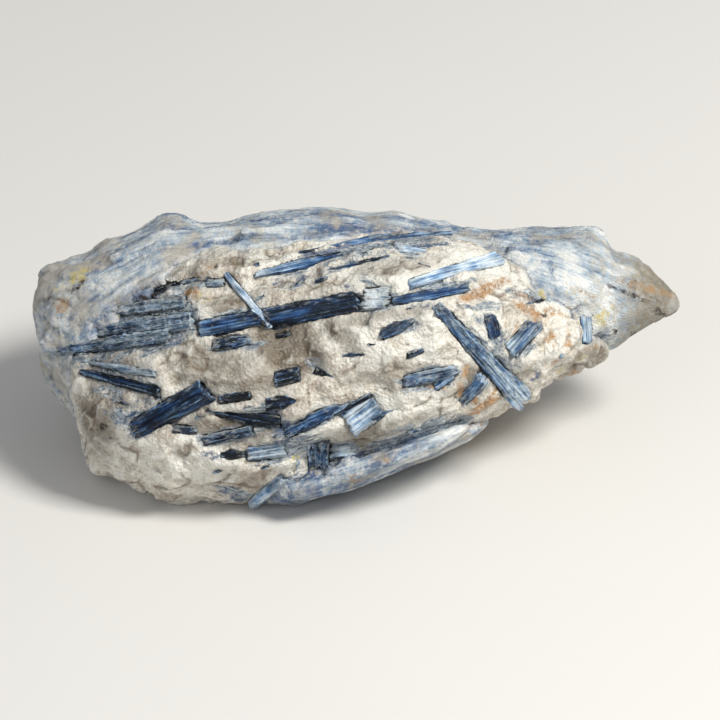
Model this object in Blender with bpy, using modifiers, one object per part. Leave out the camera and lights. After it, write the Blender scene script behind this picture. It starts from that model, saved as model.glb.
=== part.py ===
"""Kyanite blade cluster: blue kyanite blades and a pale bladed crust, grown in a lump of quartz.

The stone lies on its broken underside, and its show face leans back. Places on it are given square
to that face, in millimetres: x runs along the stone, v up the face and w straight out of it.
"""

import math
import random
from dataclasses import dataclass

import bmesh
import bpy
import numpy as np
from mathutils import Matrix, Vector, noise
from mathutils.bvhtree import BVHTree

MM = 0.001

# Driving dimensions, in millimetres and degrees.
FACE_TILT = 32.0        # the show face leans back this far from upright
FLOOR = -20.3           # the broken underside lies this far below the face's centre
BASE = (-44.0, 24.0)    # the underside lies on the floor between these stations
BASE_EASE = 12.0        # and lifts off it over this length beyond them
BASE_TURN = 2.5         # how quickly the sides turn into the underside
FLOOR_BREAK = 0.7       # and its hollows reach up from this far below the floor
FLOOR_SNAP = 0.1        # points this near the floor are put on it exactly
BLOCK = (200.0, 200.0, 20.0)  # the block that breaks the stone off at the floor
GAP = 0.3               # clearance between neighbouring pieces
MASS_GAP = 0.62         # and between the masses, whose surfaces are rougher

# The three masses.
GRAIN = 0.75            # finest shape kept in them
HIDDEN_TRIANGLES = 160  # for the surfaces at which they meet
TRIANGLES = {"kyanite_crust": 2300, "quartz_matrix": 2500, "lower_blade_bundle": 500}
FINISHED_TRIANGLES = {"kyanite_crust": 2900, "quartz_matrix": 4000, "lower_blade_bundle": 560}
LUMP = 7.5              # size of the quartz's broken lumps
LUMP_HEIGHT = 0.91
LUMP_STEEP = 1.6        # how steeply a lump rises from its edge
GRIT = 2.6              # size of the smaller breaks in the quartz
GRIT_HEIGHT = 0.45
RIDGE = 2.6             # width of the blades that show in the crust
RIDGE_HEIGHT = 1.15
RIDGE_RUN = 34.0        # length over which a ridge rises and sinks again
KNOB = 9.0              # size of the knobs at the crust's left end
KNOB_HEIGHT = 1.1
KNOBS_END = -38.0       # they fade in to the left of this station
KNOBS_EASE = 12.0
CRUST_RIM = 3.0         # the crust laps over the quartz's upper edge by this much
QUARTZ_BACK = -12.0     # the quartz lies in front of this depth
QUARTZ_START = -54.0    # and right of this station
CRUST_FRONT = 2.0       # the crust lies behind this depth
CRUST_FOOT = -20.0      # and above this height
BUNDLE_BACK = 3.0       # the stone hides the bundle behind this depth

# The blades' beds and shapes.
BED_MARGIN = 0.7        # the stone is level round a blade out to this distance
BED_EASE = 3.0          # and runs back to its own height over this one
BED_REACH = 2.0         # highest lump that is levelled right away
LEVEL_SHARES = (0.1, 0.3, 0.5, 0.7, 0.9)  # a blade's line is fitted at these shares of its length
LEVEL_ASIDE = 0.3       # and this share of its width to either side
OUTSIDE = 100.0         # a depth well outside the stone
RAGGED = 0.10           # a blade's broken ends vary by this share of its width
THINNING = 0.45         # a narrowed end loses this share of its thickness
SHOULDER = (0.1, 0.5)   # height of a blade's side edges, as shares of its half thickness
CREST = 0.9             # its outer side is this share of its width
STEP_SHIFT = 0.2        # the long steps on it vary in width by this share
STEP_LEVEL = 0.72       # and in height, down to this share of the half thickness
STEP_SLOPE = 0.012      # a step's wall leans by this share of the width

# Colour and roughness of each material.
MATERIALS = {
    "milky_quartz": ((0.72, 0.68, 0.60), 0.45),
    "pale_kyanite": ((0.52, 0.62, 0.74), 0.5),
    "dark_kyanite": ((0.05, 0.10, 0.20), 0.35),
    "light_kyanite": ((0.34, 0.46, 0.62), 0.4),
}

ALONG = Vector((1.0, 0.0, 0.0))
UP_FACE = Vector((0.0, math.sin(math.radians(FACE_TILT)), math.cos(math.radians(FACE_TILT))))
OUT = Vector((0.0, -math.cos(math.radians(FACE_TILT)), math.sin(math.radians(FACE_TILT))))


@dataclass
class Form:
    """A rounded mass: its outline on the face, its swell in front and behind, and its section."""

    top: list
    bottom: list
    front: list
    back: list
    section: list
    rings: int
    around: int


@dataclass
class Blade:
    """A flat crystal from start to end on the face, with its outer side lift above the stone."""

    start: tuple
    end: tuple
    width: float
    thickness: float = 2.0
    lift: tuple = (0.6, 0.6)
    roll: float = 12.0
    taper: tuple = (1.0, 1.0)
    steps: int = 2
    bow: float = 0.0
    slant: tuple = (0.15, -0.15)


# Sections run round from the top of the face over the front, the underside and the back, with
# v from -1 to 1 between the outlines and w as a share of the swell.
CRUST_SECTION = [
    (1.0, -0.30), (0.86, 0.30), (0.60, 0.66), (0.20, 0.92), (-0.20, 1.0), (-0.60, 0.80),
    (-0.90, 0.35), (-1.0, -0.10), (-0.75, -0.60), (-0.30, -0.90), (0.20, -1.0),
    (0.65, -0.92), (0.92, -0.66),
]
QUARTZ_SECTION = [
    (1.0, 0.36), (0.86, 0.70), (0.50, 0.95), (0.10, 1.0), (-0.40, 0.93), (-0.80, 0.66),
    (-1.0, 0.30), (-0.88, -0.30), (-0.62, -0.80), (-0.35, -1.0), (0.05, -1.0),
    (0.35, -0.70), (0.72, -0.30),
]
BUNDLE_SECTION = [
    (1.0, 0.0), (0.70, 0.70), (0.10, 1.0), (-0.60, 0.75), (-1.0, 0.10), (-0.70, -0.60),
    (0.0, -1.0), (0.70, -0.70),
]

CRUST = Form(
    top=[
        (-64.8, 8.4), (-64.6, 13.0), (-63.6, 17.2), (-62.0, 18.4), (-58.8, 20.0), (-57.6, 20.6),
        (-54.0, 20.9), (-52.2, 22.8), (-51.4, 23.9), (-46.4, 24.6), (-42.0, 27.0), (-40.4, 28.6),
        (-36.8, 29.2), (-34.0, 27.6), (-32.2, 26.9), (-25.8, 27.3), (-22.0, 28.7), (-16.0, 29.7),
        (-11.0, 30.4), (-6.0, 30.4), (-3.0, 29.9), (1.2, 28.7), (6.0, 29.4), (8.0, 29.3),
        (12.8, 27.5), (17.0, 27.0), (20.4, 25.9), (26.4, 25.1), (36.0, 25.9), (42.0, 25.9),
        (47.4, 26.6), (48.8, 25.6), (49.2, 23.4), (49.6, 21.0), (53.0, 21.0), (55.6, 20.6),
        (58.0, 18.2), (60.8, 15.4), (64.0, 12.2), (64.8, 10.8),
    ],
    bottom=[
        (-64.8, 8.4), (-63.8, 3.0), (-63.1, -2.0), (-62.6, -4.2), (-61.0, -6.2), (-59.4, -8.2),
        (-57.6, -10.2), (-56.0, -11.8), (-50.0, -14.0), (-32.0, -16.0), (-12.0, -14.0),
        (18.0, -7.0), (36.0, -1.0), (46.0, 1.8), (50.8, 2.0), (52.0, 3.0), (54.0, 5.0),
        (56.0, 6.4), (60.4, 8.2), (64.0, 9.4), (64.8, 10.8),
    ],
    front=[
        (-64.8, 0.0), (-64.0, 6.0), (-61.0, 11.0), (-54.0, 15.0), (-40.0, 19.0), (-10.0, 20.0),
        (25.0, 19.0), (40.0, 15.0), (50.0, 10.0), (60.0, 5.0), (64.8, 0.0),
    ],
    back=[
        (-64.8, 0.0), (-64.0, 9.0), (-61.0, 15.0), (-54.0, 22.0), (-40.0, 29.0), (-10.0, 33.0),
        (15.0, 32.0), (35.0, 26.0), (48.0, 19.0), (58.0, 12.0), (63.0, 7.0), (64.8, 0.0),
    ],
    section=CRUST_SECTION,
    rings=96,
    around=120,
)
QUARTZ = Form(
    top=[
        (-58.4, 0.0), (-56.0, 1.8), (-52.0, 4.0), (-46.0, 9.0), (-42.0, 12.5), (-38.0, 17.0),
        (-34.0, 19.5), (-29.0, 21.4), (-26.0, 21.2), (-20.0, 21.0), (-12.0, 22.0), (-6.0, 22.8),
        (2.0, 24.0), (8.0, 24.9), (16.0, 24.4), (19.0, 23.6), (24.0, 21.4), (32.0, 18.4),
        (36.0, 14.0), (42.0, 11.4), (44.6, 9.6), (47.0, 5.0), (49.2, 1.4),
    ],
    bottom=[
        (-58.4, -2.0), (-57.4, -7.0), (-55.6, -12.0), (-54.6, -16.0), (-54.0, -19.4),
        (-52.4, -22.2), (-50.0, -21.8), (-45.6, -23.4), (-43.6, -25.2), (-42.0, -25.1),
        (-40.0, -26.6), (-37.4, -27.5), (-32.0, -27.2), (-26.0, -28.3), (-22.0, -28.4),
        (-12.0, -27.0), (8.0, -20.8), (18.0, -15.4), (26.0, -11.2), (29.6, -9.0), (34.6, -8.0),
        (36.0, -5.2), (39.0, -3.6), (43.4, -2.9), (45.0, -0.8), (48.0, 0.2), (49.2, 1.2),
    ],
    front=[
        (-58.4, 2.0), (-56.0, 14.0), (-50.0, 21.0), (-40.0, 26.0), (-20.0, 29.5), (8.0, 29.5),
        (24.0, 26.0), (36.0, 20.0), (44.0, 14.0), (49.2, 4.0),
    ],
    back=[
        (-58.4, 2.0), (-56.0, 12.0), (-48.0, 22.0), (-36.0, 30.0), (-10.0, 35.0), (12.0, 33.0),
        (28.0, 25.0), (40.0, 15.0), (49.2, 3.0),
    ],
    section=QUARTZ_SECTION,
    rings=96,
    around=110,
)
BUNDLE = Form(
    top=[
        (-21.0, -27.6), (-16.0, -24.0), (-12.0, -22.4), (-3.0, -19.8), (4.0, -17.4),
        (8.0, -15.8), (14.0, -13.8), (20.0, -12.2), (25.4, -12.0),
    ],
    bottom=[
        (-21.0, -28.2), (-18.0, -28.4), (-12.8, -29.0), (-11.4, -28.6), (-4.0, -26.2),
        (4.0, -23.6), (12.0, -20.4), (16.0, -18.4), (20.0, -16.4), (24.0, -14.2), (25.4, -12.6),
    ],
    front=[(-21.0, 10.0), (-14.0, 19.5), (0.0, 23.5), (14.0, 21.5), (22.0, 17.0), (25.4, 9.0)],
    back=[(-21.0, 8.0), (-14.0, 10.0), (25.4, 4.0)],
    section=BUNDLE_SECTION,
    rings=36,
    around=48,
)

# Lumps (+) and hollows (-) on the quartz face: x, v, half length, half height, rise.
FACE_SWELLS = [
    (-13.0, 3.5, 9.0, 4.5, -2.6),
    (10.0, 3.0, 15.0, 7.0, 2.0),
    (-8.0, -4.5, 3.0, 3.6, -1.8),
    (3.0, -5.5, 8.0, 2.4, -1.3),
    (-35.0, -3.0, 6.0, 5.0, 1.4),
    (-24.0, -3.0, 5.0, 5.0, 1.2),
    (-37.0, -21.0, 13.0, 6.0, 1.8),
    (-28.0, -12.0, 8.0, 2.0, -1.6),
    (12.0, -11.0, 9.0, 3.0, 1.0),
    (-10.0, -17.0, 10.0, 4.0, -1.2),
    (4.0, 18.0, 12.0, 3.5, 0.9),
    (-24.0, 12.0, 9.0, 3.0, -0.8),
]

# The blades that stand in the show face. Each entry is one piece, and blades that overlap grew
# together and are listed as one.
FACE_BLADES = {
    "main_blade_and_crossing_lath": [
        Blade((-18.4, 7.8), (-0.4, 11.2), 3.8, 3.6, (1.5, 1.8), 24, steps=2, slant=(-0.45, 0.1)),
        Blade((-31.0, 5.8), (-19.6, 8.0), 3.3, 2.8, (0.7, 1.2), 20, steps=3, slant=(0.2, -0.4)),
        Blade((-26.0, 16.4), (-17.6, 6.6), 1.4, 2.6, (0.8, 2.0), 5, steps=1),
    ],
    "pale_sheath_blade": [
        Blade((0.9, 11.6), (5.6, 11.8), 5.0, 2.4, (1.0, 0.5), 15, steps=4, slant=(0.1, 0.3)),
    ],
    "dark_lath_right": [
        Blade((6.6, 11.0), (21.2, 13.9), 2.3, 2.2, (0.5, 0.8), 20, taper=(0.9, 0.75)),
    ],
    "pale_upper_blade": [
        Blade((9.8, 14.6), (27.6, 19.8), 3.3, 2.2, (0.7, 0.7), 20, taper=(0.6, 1.0), steps=4),
    ],
    "long_upper_blade": [
        Blade((-12.0, 20.6), (18.4, 24.8), 1.9, 2.4, (0.7, 0.5), 30, taper=(0.5, 0.5), bow=0.9),
    ],
    "blunt_upper_blade": [
        Blade((-20.6, 16.2), (-3.4, 20.4), 2.4, 2.4, (0.7, 0.9), 25, taper=(0.5, 0.6), steps=3),
    ],
    "small_lens_blade": [
        Blade((0.2, 20.5), (6.4, 22.1), 1.5, 1.8, (0.5, 0.6), 20, taper=(0.2, 0.9)),
        Blade((5.4, 21.7), (13.0, 21.3), 1.9, 1.6, (0.5, 0.4), 20, taper=(0.9, 0.4), steps=3),
    ],
    "thin_upper_lath": [
        Blade((-5.6, 17.3), (6.0, 20.2), 0.9, 1.8, (0.5, 0.5), 20, taper=(0.4, 0.6), steps=1),
    ],
    "black_left_blade": [
        Blade((-44.4, 11.8), (-35.6, 14.7), 1.7, 2.2, (0.7, 0.7), 20, taper=(0.4, 0.9)),
    ],
    "upper_left_lath": [
        Blade((-35.0, 14.9), (-29.2, 15.8), 1.2, 2.0, (0.7, 0.6), 20),
        Blade((-29.8, 14.8), (-26.6, 14.9), 2.0, 1.8, (0.5, 0.5), 15, steps=3),
    ],
    "rough_blade_bundle": [
        Blade((-59.6, 1.4), (-37.6, 4.4), 3.0, 3.0, (1.2, 0.7), 20, taper=(0.5, 0.8), steps=3),
        Blade((-51.0, 5.2), (-32.4, 7.6), 4.0, 3.2, (1.2, 0.9), 15, taper=(0.5, 0.9), steps=4),
    ],
    "rough_upper_blade": [
        Blade((-48.0, 9.4), (-34.0, 11.2), 3.2, 3.0, (1.0, 0.8), 15, taper=(0.4, 0.9), steps=4),
    ],
    "stub_below_main_blade": [
        Blade((-28.6, 2.7), (-21.4, 3.8), 2.7, 2.6, (0.8, 1.2), 25, taper=(0.8, 0.7), steps=3),
    ],
    "square_stub": [
        Blade((-16.6, -4.0), (-11.6, -2.8), 2.6, 2.8, (1.3, 1.2), 28, steps=1, slant=(0.2, 0.2)),
    ],
    "chip_below_main_blade": [
        Blade((-16.4, 4.3), (-13.4, 4.8), 1.1, 1.6, (0.4, 0.4), 15, steps=1),
    ],
    "thin_lath_in_cleft": [
        Blade((-3.4, 0.6), (1.0, 0.8), 0.9, 1.6, (0.5, 0.5), 15, taper=(0.6, 0.6), steps=1),
    ],
    "sliver_beside_lens": [
        Blade((11.6, 7.0), (14.2, 8.0), 0.8, 1.4, (0.4, 0.4), 15, steps=1),
    ],
    "thin_right_lens": [
        Blade((32.6, 10.8), (37.4, 11.8), 0.8, 1.4, (0.4, 0.4), 15, taper=(0.4, 0.4), steps=1),
    ],
    "dark_wedge_stub": [
        Blade((-8.6, -2.4), (-5.0, -3.4), 1.7, 1.8, (0.6, 0.6), 15, taper=(1.0, 0.3)),
    ],
    "lens_blade": [
        Blade((4.2, 4.6), (10.6, 7.4), 2.6, 2.4, (1.0, 0.7), 15, taper=(0.8, 0.35), steps=3),
    ],
    "small_grey_stub": [
        Blade((9.2, 0.6), (12.8, 1.8), 1.3, 1.6, (0.5, 0.4), 15, taper=(0.9, 0.5)),
    ],
    "fibrous_plate": [
        Blade((8.6, -4.4), (19.0, -2.2), 2.9, 2.2, (0.9, 0.5), 12, taper=(0.8, 0.7), steps=4),
        Blade((14.8, -5.6), (18.0, -3.2), 1.9, 2.0, (0.5, 0.5), 10, steps=2),
    ],
    "cross_blade_long": [
        Blade((15.6, 9.8), (32.4, -8.2), 5.0, 3.6, (0.9, 1.6), -8, taper=(0.45, 1.0), steps=4),
    ],
    "cross_blade_upper": [
        Blade((34.4, 6.8), (29.6, 1.4), 3.4, 2.6, (1.2, 0.9), 10, steps=3, slant=(-0.3, 0.1)),
    ],
    "cross_blade_lower": [
        Blade((24.2, -3.8), (20.2, -8.2), 3.2, 2.6, (0.6, 0.8), 10, taper=(1.0, 0.7), steps=3),
    ],
    "small_upright_blade": [
        Blade((25.4, 8.4), (26.8, 4.2), 2.5, 1.8, (0.6, 0.6), 8, steps=3),
    ],
    "long_lower_blade_and_block": [
        Blade((-14.6, -14.2), (-3.6, -9.4), 3.0, 2.8, (0.9, 0.9), 18, taper=(0.9, 0.5), steps=4),
        Blade((-5.0, -10.6), (2.6, -6.8), 0.9, 2.4, (1.2, 1.0), 18, taper=(0.8, 0.5), steps=1),
        Blade((-2.0, -13.1), (3.4, -9.0), 5.0, 3.6, (1.5, 1.3), 10, steps=2, slant=(0.1, 0.1)),
        Blade((2.6, -11.4), (7.4, -9.8), 1.6, 1.8, (0.6, 0.4), 10, taper=(1.0, 0.2), steps=1),
    ],
    "dark_lower_blade": [
        Blade((-29.8, -10.2), (-15.4, -12.4), 2.7, 2.8, (0.7, 1.1), 22, taper=(0.35, 1.0), steps=3),
    ],
    "black_stub": [
        Blade((-27.4, -8.0), (-21.2, -7.0), 1.7, 2.0, (0.7, 0.7), 22, steps=2),
    ],
    "pointed_blue_stub": [
        Blade((-18.2, -9.0), (-12.0, -8.1), 2.4, 2.4, (0.8, 0.8), 22, taper=(0.9, 0.15), steps=2),
    ],
    "raised_diagonal_blade": [
        Blade((-44.0, -14.0), (-29.8, -6.1), 4.3, 4.2, (1.2, 2.6), 22, taper=(0.85, 1.0), steps=3),
    ],
    "left_dark_blade": [
        Blade((-55.0, -2.6), (-39.0, -6.5), 2.3, 2.4, (0.7, 0.8), 20, taper=(0.5, 1.0)),
    ],
    "left_pale_lath": [
        Blade((-53.0, -0.8), (-39.8, -3.0), 1.4, 1.8, (0.6, 0.6), 20, taper=(0.5, 0.9), steps=1),
    ],
    "blue_lath": [
        Blade((-36.4, -13.7), (-32.0, -14.0), 1.7, 2.0, (0.6, 0.6), 20, steps=2),
    ],
    "grey_lower_lath": [
        Blade((-30.4, -16.0), (-20.8, -13.9), 2.1, 2.2, (0.7, 0.5), 18, steps=3),
    ],
    "black_lens": [
        Blade((-27.2, -18.8), (-22.8, -18.8), 1.9, 1.8, (0.5, 0.5), 15, taper=(0.5, 0.5)),
    ],
    "streaky_block": [
        Blade((-21.8, -18.8), (-14.6, -17.7), 3.0, 2.6, (0.7, 0.8), 15, steps=4),
    ],
    "upright_fibre_block": [
        Blade((-8.0, -16.6), (-8.2, -21.0), 4.2, 2.8, (1.1, 0.9), 0, steps=5),
    ],
    "blue_chip_cluster": [
        Blade((-5.2, -18.2), (-2.0, -17.8), 3.2, 2.2, (0.8, 0.6), 10, steps=3),
    ],
    "bottom_spur": [
        Blade((-21.4, -28.8), (-15.0, -23.4), 2.5, 2.8, (3.4, 1.3), 10, taper=(0.7, 0.8), steps=2),
    ],
    "pale_upright_blade": [
        Blade((44.8, 8.4), (45.2, 3.2), 2.7, 2.0, (0.6, 0.6), 5, steps=3),
    ],
}

# The long laths that are grown into the crust's face above the quartz, into the lower bundle and
# into the crust behind.
CRUST_LATHS = [
    Blade((-50.0, 19.6), (-16.0, 26.8), 4.2, 4.0, (1.0, 1.0), 25, taper=(0.5, 0.6), steps=3),
    Blade((-24.0, 24.8), (18.0, 26.6), 3.6, 4.0, (0.9, 0.8), 30, taper=(0.5, 0.6), steps=3),
    Blade((12.0, 26.0), (42.0, 21.0), 4.4, 4.0, (0.8, 1.0), 25, taper=(0.5, 0.7), steps=3),
    Blade((-60.0, 11.0), (-38.0, 18.6), 4.6, 4.0, (1.2, 1.0), 20, taper=(0.6, 0.6), steps=3),
    Blade((30.0, 21.6), (56.0, 16.4), 4.0, 4.0, (1.0, 0.8), 20, taper=(0.6, 0.5), steps=2),
    Blade((-63.0, 2.0), (-45.0, 12.4), 5.0, 4.0, (1.0, 1.0), 10, taper=(0.6, 0.6), steps=3),
]
BUNDLE_LATHS = [
    Blade((-12.0, -27.0), (9.0, -20.8), 3.0, 3.0, (0.8, 0.9), 20, taper=(0.7, 0.5), steps=3),
    Blade((-6.0, -22.8), (12.0, -17.6), 2.6, 3.0, (0.8, 0.7), 20, taper=(0.5, 0.6), steps=2),
    Blade((4.0, -20.6), (23.0, -14.0), 2.6, 3.0, (0.9, 0.8), 20, taper=(0.5, 0.6), steps=3),
]
BACK_LATHS = [
    Blade((-52.0, 10.0), (-12.0, 16.0), 6.0, 4.0, (1.0, 1.2), 10, taper=(0.5, 0.7), steps=3),
    Blade((-30.0, 22.0), (12.0, 25.0), 5.0, 3.6, (0.9, 0.9), 15, taper=(0.5, 0.6), steps=3),
    Blade((-22.0, 7.0), (24.0, 12.0), 6.5, 4.0, (1.1, 1.0), 5, taper=(0.6, 0.5), steps=4),
    Blade((-8.0, 17.0), (38.0, 20.0), 5.5, 4.0, (1.2, 1.0), 12, taper=(0.5, 0.6), steps=3),
    Blade((8.0, 3.0), (44.0, 13.0), 5.5, 4.0, (1.0, 1.2), 0, taper=(0.5, 0.6), steps=3),
    Blade((-50.0, 1.0), (-18.0, 5.0), 5.0, 4.0, (1.0, 1.0), 0, taper=(0.6, 0.5), steps=3),
    Blade((30.0, 14.0), (57.0, 14.5), 4.5, 3.6, (1.0, 1.0), 5, taper=(0.7, 0.4), steps=2),
]


def on_face(x, v, w):
    """The point x along, v up and w out of the show face, in metres."""
    return (ALONG * x + UP_FACE * v + OUT * w) * MM


def value_at(points, x):
    """The value at x of a line through (x, value) points."""
    for (x0, y0), (x1, y1) in zip(points, points[1:]):
        if x <= x1:
            return y0 + (y1 - y0) * max(0.0, x - x0) / (x1 - x0)
    return points[-1][1]


def section_at(section, turn):
    """The point at turn, from 0 to 1, of a smooth closed curve through the section's points."""
    count = len(section)
    place = (turn % 1.0) * count
    i = int(place)
    t = place - i
    a, b, c, d = (Vector(section[(i + k) % count]) for k in (-1, 0, 1, 2))
    smooth = (c - a) * t + (2 * a - 5 * b + 4 * c - d) * t * t + (3 * b - 3 * c + d - a) * t**3
    return b + smooth * 0.5


def ease(t):
    t = min(1.0, max(0.0, t))
    return t * t * (3 - 2 * t)


def base_share(x):
    """1 where the underside lies on the floor, down to 0 beyond the base's ends."""
    return ease((x - BASE[0]) / BASE_EASE + 1) * ease((BASE[1] - x) / BASE_EASE + 1)


def form_point(form, along, turn):
    """The point of a form at along, from 0 to 1 of its length, and turn round its section."""
    first, last = form.top[0][0], form.top[-1][0]
    x = first + (last - first) * along
    top, bottom = value_at(form.top, x), value_at(form.bottom, x)
    v_share, w_share = section_at(form.section, turn)
    v = (top + bottom) / 2 + (top - bottom) / 2 * v_share
    w = w_share * value_at(form.front if w_share > 0 else form.back, x)
    if v_share < 0 and w < 0:
        floor_v = (FLOOR - FLOOR_BREAK - w * OUT.z) / UP_FACE.z
        v += (max(bottom, floor_v) - v) * base_share(x) * ease(-v_share * BASE_TURN)
    return on_face(x, v, w)


def quartz_relief(point):
    """How far the broken quartz stands out at a point, in millimetres."""
    p = point / MM
    near, second = noise.voronoi(p / LUMP)[0][:2]
    coarse = min(1.0, (second - near) * LUMP_STEEP - 0.5) * LUMP_HEIGHT
    fine = noise.noise(p / GRIT) * GRIT_HEIGHT
    x, v, w = p.dot(ALONG), p.dot(UP_FACE), p.dot(OUT)
    swell = 0.0
    if w > 0:
        for at_x, at_v, long, high, rise in FACE_SWELLS:
            swell += rise * math.exp(-(((x - at_x) / long) ** 2) - ((v - at_v) / high) ** 2)
    return coarse + fine + swell


def blade_relief(point):
    """How far the blades in the crust stand out at a point, in millimetres."""
    p = point / MM
    across = Vector((p.x / RIDGE_RUN, p.y / RIDGE, p.z / RIDGE))
    knobs = noise.noise(p / KNOB) * KNOB_HEIGHT * ease((KNOBS_END - p.x) / KNOBS_EASE)
    return noise.noise(across) * RIDGE_HEIGHT + knobs


def under_quartz(point):
    """Whether the quartz covers the crust at a point."""
    p = point / MM
    x, v, w = p.dot(ALONG), p.dot(UP_FACE), p.dot(OUT)
    low, high = value_at(QUARTZ.bottom, x), value_at(QUARTZ.top, x) - CRUST_RIM
    return w > QUARTZ_BACK and x > QUARTZ_START and low < v < high


def under_crust(point):
    """Whether the crust covers the quartz at a point."""
    p = point / MM
    return p.dot(OUT) < CRUST_FRONT and p.dot(UP_FACE) > CRUST_FOOT


def in_the_stone(point):
    """Whether the stone covers the lower bundle at a point."""
    return (point / MM).dot(OUT) < BUNDLE_BACK


def object_of(name, bm, collection):
    """A new object in the collection, with the bmesh as its mesh."""
    bmesh.ops.recalc_face_normals(bm, faces=bm.faces)
    mesh = bpy.data.meshes.new(name)
    bm.to_mesh(mesh)
    bm.free()
    made = bpy.data.objects.new(name, mesh)
    collection.objects.link(made)
    return made


def raw_mass(name, form, relief, collection):
    """A rounded mass swelled out of a sphere, with its relief."""
    bm = bmesh.new()
    bmesh.ops.create_uvsphere(bm, u_segments=form.around, v_segments=form.rings, radius=1.0)
    for vert in bm.verts:
        turn = math.atan2(vert.co.y, vert.co.x) / math.tau
        vert.co = form_point(form, (vert.co.z + 1) / 2, turn)
    bm.normal_update()
    bmesh.ops.recalc_face_normals(bm, faces=bm.faces)
    for vert in bm.verts:
        vert.co += vert.normal * relief(vert.co) * MM
    return object_of(name, bm, collection)


def bed(mass, settings):
    """Levels the stone round each blade to the line on which the blade lies."""
    for vert in mass.data.vertices:
        p = vert.co / MM
        x, v, w = p.dot(ALONG), p.dot(UP_FACE), p.dot(OUT)
        if w < 0:
            continue
        for setting in settings:
            share, off = setting.place_of(x, v)
            rise = setting.level(share) - w
            beside = 1 - ease((off - BED_MARGIN) / BED_EASE)
            w += rise * beside * (1 - ease(abs(rise) / BED_REACH - 1))
        vert.co = on_face(x, v, w)


def break_off(mass, is_hidden, triangles, floor):
    """Thins a mass to some triangles, most where it is hidden, and breaks it off at the floor."""
    even_out(mass)
    hidden = mass.vertex_groups.new(name="hidden")
    hidden.add([v.index for v in mass.data.vertices if is_hidden(v.co)], 1.0, "REPLACE")
    faces = [{bool(mass.data.vertices[v].groups) for v in p.vertices} for p in mass.data.polygons]
    covered = faces.count({True})
    thin(mass, len(faces) - covered + HIDDEN_TRIANGLES, hidden.name)
    thin(mass, triangles)
    combine(mass, floor, "DIFFERENCE")
    settle(mass)


def even_out(mass):
    """Rebuilds a mass's surface in even small faces, with no folds."""
    even = mass.modifiers.new("even", "REMESH")
    even.mode = "VOXEL"
    even.voxel_size = GRAIN * MM
    settle(mass)


def thin(mass, triangles, group=""):
    """Thins a mass to some triangles, within a vertex group where one is named."""
    thinned = mass.modifiers.new("thin", "DECIMATE")
    thinned.vertex_group = group
    thinned.ratio = triangles / len(mass.data.polygons)
    settle(mass)


def settle(made, one_body=False):
    """Applies an object's modifiers and keeps its largest closed body, which may have to be all of it."""
    bpy.context.view_layer.update()
    graph = bpy.context.evaluated_depsgraph_get()
    mesh = bpy.data.meshes.new_from_object(made.evaluated_get(graph))
    made.modifiers.clear()
    bm = bmesh.new()
    bm.from_mesh(mesh)
    bpy.data.meshes.remove(mesh)
    bodies = bodies_of(bm)
    if one_body and len(bodies) > 1:
        raise ValueError(f"the blades of {made.name} don't all touch")
    largest = max(bodies, key=lambda faces: sum(face.calc_area() for face in faces))
    loose = [face for faces in bodies if faces is not largest for face in faces]
    bmesh.ops.delete(bm, geom=loose, context="FACES")
    bmesh.ops.triangulate(bm, faces=bm.faces)
    bm.to_mesh(made.data)
    bm.free()


def flatten_base(mass):
    """Makes the broken underside exactly flat."""
    for vert in mass.data.vertices:
        if abs(vert.co.z - FLOOR * MM) < FLOOR_SNAP * MM:
            vert.co.z = FLOOR * MM


def floor_block(collection):
    """A hidden block that breaks the stone off flat at the floor."""
    bm = bmesh.new()
    bmesh.ops.create_cube(bm, size=1.0)
    place = Matrix.Translation((0.0, 0.0, (FLOOR - BLOCK[2] / 2) * MM))
    size = Matrix.Diagonal((*BLOCK, 1 / MM)) * MM
    bmesh.ops.transform(bm, matrix=place @ size, verts=bm.verts)
    return as_cutter(object_of("floor_block", bm, collection))


def bodies_of(bm):
    """The faces of each connected body of a bmesh."""
    left, bodies = set(bm.faces), []
    while left:
        found, front = set(), [left.pop()]
        while front:
            face = front.pop()
            found.add(face)
            near = {other for edge in face.edges for other in edge.link_faces}
            front.extend(near & left)
            left -= near
        bodies.append(sorted(found, key=lambda face: face.index))
    return bodies


def grown_copy(made, by, collection):
    """A hidden copy of a mass, pushed out along its normals, to cut a clearance."""
    bm = bmesh.new()
    bm.from_mesh(made.data)
    bm.normal_update()
    for vert, normal in [(vert, vert.normal.copy()) for vert in bm.verts]:
        vert.co += normal * by * MM
    grown = object_of(made.name + "_clearance", bm, collection)
    even_out(grown)
    thin(grown, len(made.data.polygons))
    return as_cutter(grown)


def as_cutter(made):
    made.hide_render = True
    made.display_type = "WIRE"
    return made


def combine(target, other, operation):
    """A live Boolean of target with another object."""
    boolean = target.modifiers.new(operation.lower(), "BOOLEAN")
    boolean.operation = operation
    boolean.object = other
    boolean.solver = "EXACT"


def lath_profile(width, thickness, steps, draw):
    """The outline across a blade: a flat underside, two sides and an outer side in long steps."""
    half, edge = width / 2, thickness / 2
    points = [(-half, -edge), (half, -edge), (half, edge * draw.uniform(*SHOULDER))]
    shifted = [i + draw.uniform(-STEP_SHIFT, STEP_SHIFT) for i in range(1, steps)]
    bounds = [half * CREST, *(half * (1 - 2 * i / steps) for i in shifted), -half * CREST]
    for right, left in zip(bounds, bounds[1:]):
        level = edge * draw.uniform(STEP_LEVEL, 1.0)
        points += [(right - width * STEP_SLOPE, level), (left + width * STEP_SLOPE, level)]
    points.append((-half, edge * draw.uniform(*SHOULDER)))
    return points


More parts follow.
